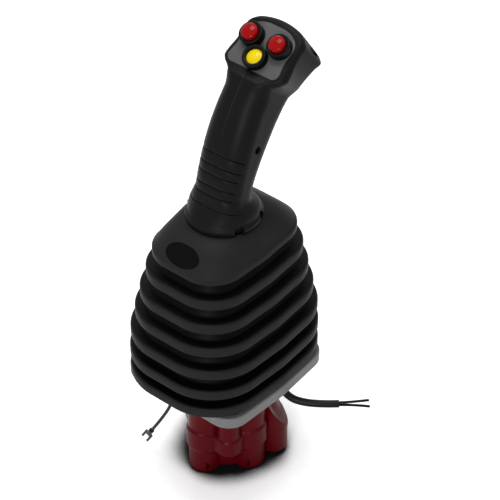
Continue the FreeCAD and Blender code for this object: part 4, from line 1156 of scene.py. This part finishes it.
    def front_bow(self, x: np.ndarray, n: np.ndarray, wide: np.ndarray, half: np.ndarray) -> np.ndarray:
        """How far the front falls away from the middle: a parabola across, felt in front only."""
        felt = smooth_step(n / half, 0.0, self.front_crown_full)
        return self.front_crown * (x / wide) ** 2 * felt

    def with_grooves(self, points: np.ndarray, n: np.ndarray, outward: np.ndarray) -> np.ndarray:
        """Rings pressed in by the grooves and the seam, and dropped at the sides of the head's top.

        Each groove is a bell curve of the distance along the handle, faded out round the
        side. The seam is a bell curve of the distance from the middle plane.

        Args:
            points: the rings before, shaped (rings, points, 3).
            n: distance of each point from its section's middle, towards the front.
            outward: direction of each section's front in the side view.

        Returns:
            The rings after, shaped like points.
        """
        x, y, z = np.moveaxis(points, -1, 0)
        lean = self.lean_of(y, z)
        sunk = np.zeros_like(lean)
        for groove in self.groove_leans:
            away = np.radians(lean - groove) * self.arc_radius / self.groove_half_width
            sunk += self.groove_depth * np.exp(-away ** 2)
        sunk *= smooth_step(n, *self.groove_fade)
        along = smooth_step(lean, *self.seam_leans[:2]) * (1.0 - smooth_step(lean, *self.seam_leans[2:]))
        seam = self.seam_depth * np.exp(-(x / self.seam_half_width) ** 2) * along
        seam *= smooth_step(n, *self.seam_fade)
        x = x - sunk * smooth_step(x, *self.groove_side_fade)
        y = y - (sunk + seam) * outward[:, 0, None]
        z = z - (sunk + seam) * outward[:, 1, None]
        return self.with_top_drop(np.stack([x, y, z], -1))

    def with_top_drop(self, points: np.ndarray) -> np.ndarray:
        """Lower the head's top towards its sides by a parabola, fading out down the head."""
        a = math.radians(self.head.rise)
        x, y, z = np.moveaxis(points, -1, 0)
        up = (y - self.head.y) * math.cos(a) + (z - self.head.z) * math.sin(a)
        drop = self.top_drop * (x / self.top_drop_width) ** 2 * smooth_step(up, *self.top_drop_range)
        return np.stack([x, y - drop * math.cos(a), z - drop * math.sin(a)], -1)

    def notch_cutter(self, angle: float) -> bpy.types.Object:
        """Round tool, pointing outwards, that opens one notch in the foot's rim."""
        rings = turned(np.array([(self.notch_radius, r) for r in self.notch_reach]), self.cutter_steps)
        return self.laid_along(rings, angle, (0.0, 0.0, self.notch_height), "notch_cutter")

    def screw_cutter(self, side: float) -> bpy.types.Object:
        """Round tool for the shell screw's recess on one side."""
        a = math.radians(self.screw_lean)
        centre = (0.0, self.arc_y - self.arc_radius * math.cos(a), self.arc_z + self.arc_radius * math.sin(a))
        profile = np.array([(self.screw_recess_radius, r) for r in self.screw_recess_reach])
        rings = turned(profile, self.cutter_steps)
        return self.laid_along(rings, 0.0 if side > 0 else 180.0, centre, "screw_cutter")

    def slot_cutter(self, side: float) -> bpy.types.Object:
        """Short slot high on one side of the head, running along its depth."""
        low, high = self.slot_depth_range
        w = self.slot_half_width
        corners = np.array([(self.slot_up - w, -high), (self.slot_up + w, -high),
                            (self.slot_up + w, -low), (self.slot_up - w, -low)])
        loop = rounded_loop(corners, np.full(4, w * self.slot_corner), 8, 2)
        levels = sorted(side * reach for reach in self.slot_reach)
        rings = np.array([np.column_stack([np.full(len(loop), x), loop]) for x in levels])
        return ring_piece("slot_cutter", self.head.to_frame(rings))

    @staticmethod
    def laid_along(rings: np.ndarray, angle: float, centre: tuple[float, ...], name: str) -> bpy.types.Object:
        """Piece whose turning axis lies level, through a centre.

        Args:
            rings: its rings about +Z.
            angle: bearing of the axis in degrees.
            centre: where the foot of the axis goes.
            name: name of the piece.

        Returns:
            The new piece.
        """
        turn = Matrix.Rotation(math.radians(angle), 3, "Z") @ Matrix.Rotation(math.pi / 2, 3, "Y")
        return ring_piece(name, rings @ np.array(turn).T + np.array(centre))

    def build(self, shop: Workshop) -> None:
        """Make both shells with their recesses."""
        right = self.half_rings()
        for name, side in SIDES.items():
            rings = right * np.array([side, 1.0, 1.0])
            if side < 0:
                rings = rings[:, ::-1]
            shell = ring_piece("grip_" + name, rings, sharp=self.sharp)
            near = [a for a in self.notch_angles if math.cos(math.radians(a)) * side > 0]
            cutters = [self.notch_cutter(a) for a in near]
            cutters.append(self.slot_cutter(side))
            if side > 0:
                cutters.append(self.screw_cutter(side))
            cut_away(shell, cutters, sharp=self.sharp)
            shop.dress(shell, GRIP_PLASTIC, "lever", "grip_shell_" + name)


# Buttons

@dataclass(frozen=True)
class Button:
    """One push button: its place on the panel, and its sizes, with heights over the panel."""

    name: str
    across: float
    up: float
    bezel_radius: float
    bezel_height: float
    cap_radius: float
    cap_top: float
    finish: Finish


@dataclass
class ButtonCluster:
    """Grey panel with three buttons, all in the head's plane."""

    head: HeadPlane
    buttons: tuple[Button, ...] = (
        Button("left", -12.0, 14.8, 8.7, 6.6, 6.05, 11.0, CAP_RED),
        Button("right", 12.0, 14.8, 8.7, 6.6, 6.05, 11.0, CAP_RED),
        Button("lower", 0.0, 1.2, 8.7, 6.2, 6.15, 5.8, CAP_YELLOW),
    )
    panel_corners: tuple[tuple[float, float], ...] = ((23.1, -7.4), (20.3, 7.0), (21.2, 21.5), (11.0, 28.3))
    panel_radii: tuple[float, ...] = (5.0, 18.0, 8.5, 21.0)
    panel_depth: float = 2.5
    panel_proud: float = 0.22
    panel_edge: float = 0.3
    panel_middle: tuple[float, float] = (0.0, 10.0)
    dome_height: float = 1.9
    cap_edge: float = 0.5
    cap_foot: float = -0.5
    dome_power: float = 2.2
    dome_start: float = 0.97
    bezel_edge: float = 0.7
    bezel_foot: float = -2.3
    bezel_gap: float = 0.06
    bezel_undercut: float = 1.1
    # The lip's inner side, from its top down: how far outside the bore, and how far down
    bezel_lip: tuple[tuple[float, float], ...] = ((0.55, 0.0), (0.15, 0.15), (0.0, 0.6))

    def panel_rings(self) -> np.ndarray:
        """Rings of the panel: its outline drawn in a little at the top edge."""
        right = np.array(self.panel_corners)
        left = right[::-1] * np.array([-1.0, 1.0])
        radii = np.array(self.panel_radii)
        all_radii = np.concatenate([radii, radii[::-1]])
        loop = rounded_loop(np.vstack([right, left]), all_radii, 14, 6)
        inward = unit(np.array(self.panel_middle) - loop)
        rings = []
        levels = ((0.0, -self.panel_depth), (0.0, self.panel_proud - self.panel_edge),
                  (0.3 * self.panel_edge, self.panel_proud - 0.3 * self.panel_edge),
                  (self.panel_edge, self.panel_proud))
        for inset, level in levels:
            ring = loop + inward * inset
            rings.append(np.column_stack([ring, np.full(len(ring), level)]))
        return self.head.to_frame(np.array(rings))

    def bezel_rings(self, button: Button) -> np.ndarray:
        """Rings of a bezel: up its outside, over its rounded lip and down its bore."""
        r, h, e = button.bezel_radius, button.bezel_height, self.bezel_edge
        bore = button.cap_radius + self.bezel_gap
        lip = np.linspace(0.0, math.pi / 2, 6)
        outer = np.column_stack([r - e + e * np.cos(lip), h - e + e * np.sin(lip)])
        inner = np.array([(bore + out, h - down) for out, down in self.bezel_lip] + [(bore, self.bezel_foot)])
        root = r - self.bezel_undercut
        foot = np.array([(root, self.bezel_foot), (root, 0.0), (r, 0.0)])
        profile = np.vstack([foot, outer, inner])
        return self.placed(turned(profile, 80), button)

    def cap_rings(self, button: Button) -> np.ndarray:
        """Rings of a cap: a barrel with a rounded shoulder and a shallow dome.

        The dome's height falls as the distance from its middle to the power dome_power.
        """
        shoulder = button.cap_top - self.dome_height
        r = button.cap_radius
        share = np.linspace(self.dome_start, 0.0, 14)
        dome = np.column_stack([r * share, shoulder + self.dome_height * (1.0 - share ** self.dome_power)])
        side = np.array([(r - 0.02, self.cap_foot), (r - 0.02, shoulder - self.cap_edge)])
        profile = np.vstack([side, dome])
        profile[-1, 0] = 0.05
        return self.placed(turned(profile, 72), button)

    def placed(self, rings: np.ndarray, button: Button) -> np.ndarray:
        """Rings carried to a button's place on the panel."""
        return self.head.to_frame(rings + np.array([button.across, button.up, 0.0]))

    def build(self, shop: Workshop) -> None:
        """Make the panel, the bezels and the caps."""
        panel = ring_piece("panel_plate", self.panel_rings(), sharp=35.0)
        shop.dress(panel, PANEL_PLASTIC, "lever", "button_panel")
        for button in self.buttons:
            bezel = ring_piece("bezel_ring_" + button.name, self.bezel_rings(button), closed=True, sharp=50.0)
            shop.dress(bezel, BEZEL_PLASTIC, "lever", "bezel_" + button.name)
            cap = ring_piece("cap_" + button.name, self.cap_rings(button), sharp=50.0)
            shop.dress(cap, button.finish, "button_" + button.name, "button_cap_" + button.name)
            shop.finish_node("switch_" + button.name, SWITCH_PLASTIC)


# Cords

@dataclass(frozen=True)
class Cord:
    """A cord of one diameter on one route of points in metres."""

    name: str
    node: str
    radius: float
    route: tuple[tuple[float, float, float], ...]
    finish: Finish

    def curve(self) -> bpy.types.Object:
        """Round curve along a smooth spline that has the route's points as its control points."""
        data = bpy.data.curves.new(self.name, "CURVE")
        data.dimensions = "3D"
        data.bevel_depth = self.radius
        data.bevel_resolution = 6
        data.use_fill_caps = True
        spline = data.splines.new("NURBS")
        spline.points.add(len(self.route) - 1)
        weighted = np.column_stack([np.array(self.route), np.ones(len(self.route))])
        spline.points.foreach_set("co", weighted.ravel())
        spline.order_u = 3
        spline.use_endpoint_u = True
        spline.resolution_u = 16
        piece = bpy.data.objects.new(self.name, data)
        bpy.context.scene.collection.objects.link(piece)
        return piece


@dataclass
class Cords:
    """The cable with its two inner wires on the right, and the earth wire in front."""

    cable: Cord = Cord("cable_jacketed", "cable", 0.00285, (
        (0.0388, 0.0140, 0.0140),
        (0.0388, 0.0140, -0.0061),
        (0.0437, 0.0156, -0.0149),
        (0.0520, 0.0183, -0.0200),
        (0.0672, 0.0270, -0.0206),
        (0.0782, 0.0365, -0.0202),
    ), CABLE_JACKET)
    upper_core: Cord = Cord("core_upper", "core_wire_upper", 0.0010, (
        (0.0782, 0.0365, -0.0190),
        (0.0850, 0.0424, -0.0187),
        (0.0930, 0.0528, -0.0194),
    ), CORE_INSULATION)
    lower_core: Cord = Cord("core_lower", "core_wire_lower", 0.0010, (
        (0.0782, 0.0365, -0.0215),
        (0.0850, 0.0424, -0.0212),
        (0.0946, 0.0520, -0.0242),
    ), CORE_INSULATION)
    earth: Cord = Cord("earth_lead", "earth_wire", 0.00125, (
        (-0.0146, -0.0410, 0.0120),
        (-0.0146, -0.0410, -0.0075),
        (-0.0164, -0.0407, -0.0180),
        (-0.0200, -0.0402, -0.0280),
        (-0.0250, -0.0400, -0.0380),
        (-0.0316, -0.0400, -0.0505),
        (-0.0386, -0.0400, -0.0625),
    ), CABLE_JACKET)
    cable_length: float = 0.0700
    earth_length: float = 0.0780

    def build(self, shop: Workshop) -> None:
        for cord in (self.cable, self.upper_core, self.lower_core, self.earth):
            piece = cord.curve()
            shop.dress(piece, cord.finish, "valve", cord.node)
        shop.finish_node("fork_terminal", TINNED_COPPER)


# Metalwork shown as its CAD nodes

@dataclass
class Metalwork:
    """Plate, joint, plungers, screws and seals: CAD nodes with their finishes."""

    def build(self, shop: Workshop) -> None:
        """Give every node that is shown as it is its finish."""
        single = (
            (PLATE_STEEL, ("flange_plate", "bellows_clamp")),
            (SCREW_STEEL, ("assembly_screws", "lock_nut", "shell_screw", "foot_grub_screws")),
            (MACHINED_STEEL, ("joint_fork", "joint_cross", "swash_plate", "lever_rod", "grip_insert")),
            (SEAL_RUBBER, ("cable_grommet", "earth_wire_grommet")),
        )
        for finish, names in single:
            for name in names:
                shop.finish_node(name, finish)
        fourfold = (("guide_bush", BUSH_BRASS), ("wiper_ring", SEAL_RUBBER), ("plunger", MACHINED_STEEL),
                    ("metering_spool", MACHINED_STEEL))
        for name, finish in fourfold:
            for number in range(1, 5):
                shop.finish_node("%s_%d" % (name, number), finish)


# Return springs

@dataclass
class ReturnSprings:
    """Helical springs of square wire that stretch between the body and their plungers."""

    circle_radius: float = 25.0
    # Plungers 1 to 4 stand ahead, to the right, behind and to the left
    bearings: tuple[float, ...] = (90.0, 0.0, 270.0, 180.0)
    mean_radius: float = 6.0
    wire_half: float = 0.7
    turns: float = 4.0
    low: float = -33.25
    high: float = -12.85
    steps_per_turn: int = 40

    def coil_rings(self, bearing: float) -> np.ndarray:
        """Rings of one coil: the wire's square section, carried round and up the helix.

        Args:
            bearing: bearing in radians of the plunger that it stands round.

        Returns:
            The rings, from the foot of the coil to its head.
        """
        share = np.linspace(0.0, 1.0, int(self.turns * self.steps_per_turn) + 1)
        turn = TAU * self.turns * share
        h = self.wire_half
        section = np.array([(-h, -h), (-h, h), (h, h), (h, -h)])
        radius = self.mean_radius + section[:, 0]
        x = np.cos(turn)[:, None] * radius + self.circle_radius * math.cos(bearing)
        y = np.sin(turn)[:, None] * radius + self.circle_radius * math.sin(bearing)
        z = self.low + (self.high - self.low) * share[:, None] + section[:, 1]
        return np.stack([x, y, z], -1)

    def build(self, shop: Workshop) -> None:
        """Make the coils."""
        for number, bearing in enumerate(self.bearings, 1):
            coil = ring_piece("return_coil_%d" % number, self.coil_rings(math.radians(bearing)), sharp=30.0)
            shop.paint(coil, SPRING_STEEL)
            shop.stand_for(coil, "return_spring_%d" % number)
            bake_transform(coil)


# Studio

@dataclass(frozen=True)
class Lamp:
    """Soft square lamp: its place and side in metres, and its power in watts."""

    name: str
    place: tuple[float, float, float]
    side: float
    power: float


@dataclass
class Studio:
    """White floor, even world light, soft lamps and the camera at the photograph's angle."""

    azimuth: float = 39.913
    elevation: float = 39.691
    distance: float = 1.7313
    aim: tuple[float, float, float] = (0.0, 0.0, 0.118)
    aim_right: float = 0.0181616
    aim_up: float = -0.0080413
    lens: float = 177.35
    sensor: float = 36.0
    floor_z: float = -0.0832
    floor_size: float = 1.8
    white: float = 1.0
    ambient: float = 0.22
    floor_glow: float = 0.47
    floor_colour: float = 0.97
    # Shadow close to the part: how far each point looks, and the open shares over which it fades
    shade_reach: float = 34.0
    shade_range: tuple[float, float] = (0.52, 0.84)
    shade_colour: float = 0.012
    lamps: tuple[Lamp, ...] = (
        Lamp("key", (0.85, -1.70, 1.00), 0.8, 20.0),
        Lamp("top", (-0.3, 0.1, 2.0), 1.0, 24.0),
        Lamp("back", (-1.3, 1.5, 1.1), 0.9, 7.0),
    )
    lamp_aim: tuple[float, float, float] = (0.0, 0.0, 0.1)

    def view_axes(self) -> tuple[Vector, Vector, Vector]:
        """Right, up and back directions of the camera from its bearing and height."""
        az, el = math.radians(self.azimuth), math.radians(self.elevation)
        back = Vector((math.sin(az) * math.cos(el), -math.cos(az) * math.cos(el), math.sin(el)))
        right = Vector((math.cos(az), math.sin(az), 0.0))
        return right, back.cross(right), back

    def build_camera(self) -> None:
        """Camera that looks along the photograph's line of sight, at its distance."""
        right, up, back = self.view_axes()
        data = bpy.data.cameras.new("camera")
        data.lens = self.lens
        data.sensor_width = self.sensor
        data.clip_end = 20.0
        camera = bpy.data.objects.new("camera", data)
        place = Vector(self.aim) + right * self.aim_right + up * self.aim_up + back * self.distance
        turn = Matrix((right, up, back)).transposed()
        camera.matrix_world = Matrix.Translation(place) @ turn.to_4x4()
        bpy.context.scene.collection.objects.link(camera)
        bpy.context.scene.camera = camera

    def build_world(self) -> None:
        """World that is white to the camera and in reflections, and lights the part evenly."""
        world = bpy.data.worlds.new("studio")
        world.use_nodes = True
        bpy.context.scene.world = world
        tree = world.node_tree
        background = tree.nodes["Background"]
        tree.links.new(self.seen_level(tree, self.ambient, self.white), background.inputs["Strength"])
        background.inputs["Color"].default_value = (1.0, 1.0, 1.0, 1.0)

    @staticmethod
    def seen_level(tree: bpy.types.NodeTree, unseen: float, seen: float) -> bpy.types.NodeSocket:
        """Level that is one value where camera, glossy or transmission rays look, and another elsewhere.

        Args:
            tree: the node tree to build in.
            unseen: value for every other ray.
            seen: value for the rays that show the surface.

        Returns:
            The socket that carries the level.
        """
        path = add_node(tree, "LightPath")
        first = add_node(tree, "Math", operation="MAXIMUM")
        second = add_node(tree, "Math", operation="MAXIMUM")
        level = add_node(tree, "MapRange", {"To Min": unseen, "To Max": seen})
        connect(tree,
                (path.outputs["Is Camera Ray"], first.inputs[0]),
                (path.outputs["Is Glossy Ray"], first.inputs[1]),
                (first.outputs[0], second.inputs[0]),
                (path.outputs["Is Transmission Ray"], second.inputs[1]),
                (second.outputs[0], level.inputs["Value"]))
        return level.outputs["Result"]

    def build_floor(self) -> None:
        """Pale floor under the body."""
        half = 0.5 * self.floor_size
        mesh = bpy.data.meshes.new("floor")
        mesh.from_pydata([(-half, -half, self.floor_z), (half, -half, self.floor_z),
                          (half, half, self.floor_z), (-half, half, self.floor_z)], [], [(0, 1, 2, 3)])
        floor = bpy.data.objects.new("floor", mesh)
        bpy.context.scene.collection.objects.link(floor)
        material = bpy.data.materials.new("floor")
        material.use_nodes = True
        shader = material.node_tree.nodes["Principled BSDF"]
        shader.inputs["Roughness"].default_value = 0.9
        shader.inputs["Specular IOR Level"].default_value = 0.0
        shader.inputs["Emission Color"].default_value = (1.0, 1.0, 1.0, 1.0)
        tree = material.node_tree
        self.shade_near_part(tree, shader, self.seen_level(tree, 0.0, self.floor_glow))
        mesh.materials.append(material)

    def shade_near_part(self, tree: bpy.types.NodeTree, shader: bpy.types.Node,
                        glow: bpy.types.NodeSocket) -> None:
        """Deepen the floor's shadow close to the part: colour and glow follow the open sky over it.

        Args:
            tree: the floor material's node tree.
            shader: its surface shader.
            glow: the socket that carries the glow in the open.
        """
        low, high = self.shade_range
        sky = add_node(tree, "AmbientOcclusion", {"Distance": self.shade_reach * MM}, samples=16)
        share = add_node(tree, "MapRange", {"From Min": low, "From Max": high},
                         interpolation_type="SMOOTHSTEP")
        shaded, plain = (*grey(self.shade_colour), 1.0), (*grey(self.floor_colour), 1.0)
        colour = add_node(tree, "Mix", {"A": shaded, "B": plain}, data_type="RGBA")
        level = add_node(tree, "Math", operation="MULTIPLY")
        connect(tree,
                (sky.outputs["AO"], share.inputs["Value"]),
                (share.outputs["Result"], colour.inputs["Factor"]),
                (share.outputs["Result"], level.inputs[0]),
                (glow, level.inputs[1]),
                (colour.outputs["Result"], shader.inputs["Base Color"]),
                (level.outputs[0], shader.inputs["Emission Strength"]))

    def build_lamp(self, lamp: Lamp) -> None:
        """Hang a lamp so that it faces the part."""
        data = bpy.data.lights.new(lamp.name, "AREA")
        data.size = lamp.side
        data.energy = lamp.power
        light = bpy.data.objects.new(lamp.name, data)
        direction = Vector(self.lamp_aim) - Vector(lamp.place)
        turn = direction.to_track_quat("-Z", "Y").to_matrix()
        light.matrix_world = Matrix.Translation(lamp.place) @ turn.to_4x4()
        bpy.context.scene.collection.objects.link(light)

    def build(self) -> None:
        """Set the stage."""
        bpy.context.scene.view_settings.view_transform = "Standard"
        self.build_camera()
        self.build_world()
        self.build_floor()
        for lamp in self.lamps:
            self.build_lamp(lamp)


def main() -> None:
    """Build the studio, then each sub-assembly in order."""
    logging.basicConfig(level=logging.INFO, format="%(name)s %(message)s")
    shop = Workshop()
    Studio().build()
    Cords().build(shop)
    Metalwork().build(shop)
    ReturnSprings().build(shop)
    ValveBody().build(shop)
    Bellows().build(shop)
    head = HeadPlane()
    Grip(head).build(shop)
    ButtonCluster(head).build(shop)
    left = sorted(set(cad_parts) - shop.dressed)
    log.info("nodes without a finish: %s", left or "none")


if __name__ == "__main__":
    main()
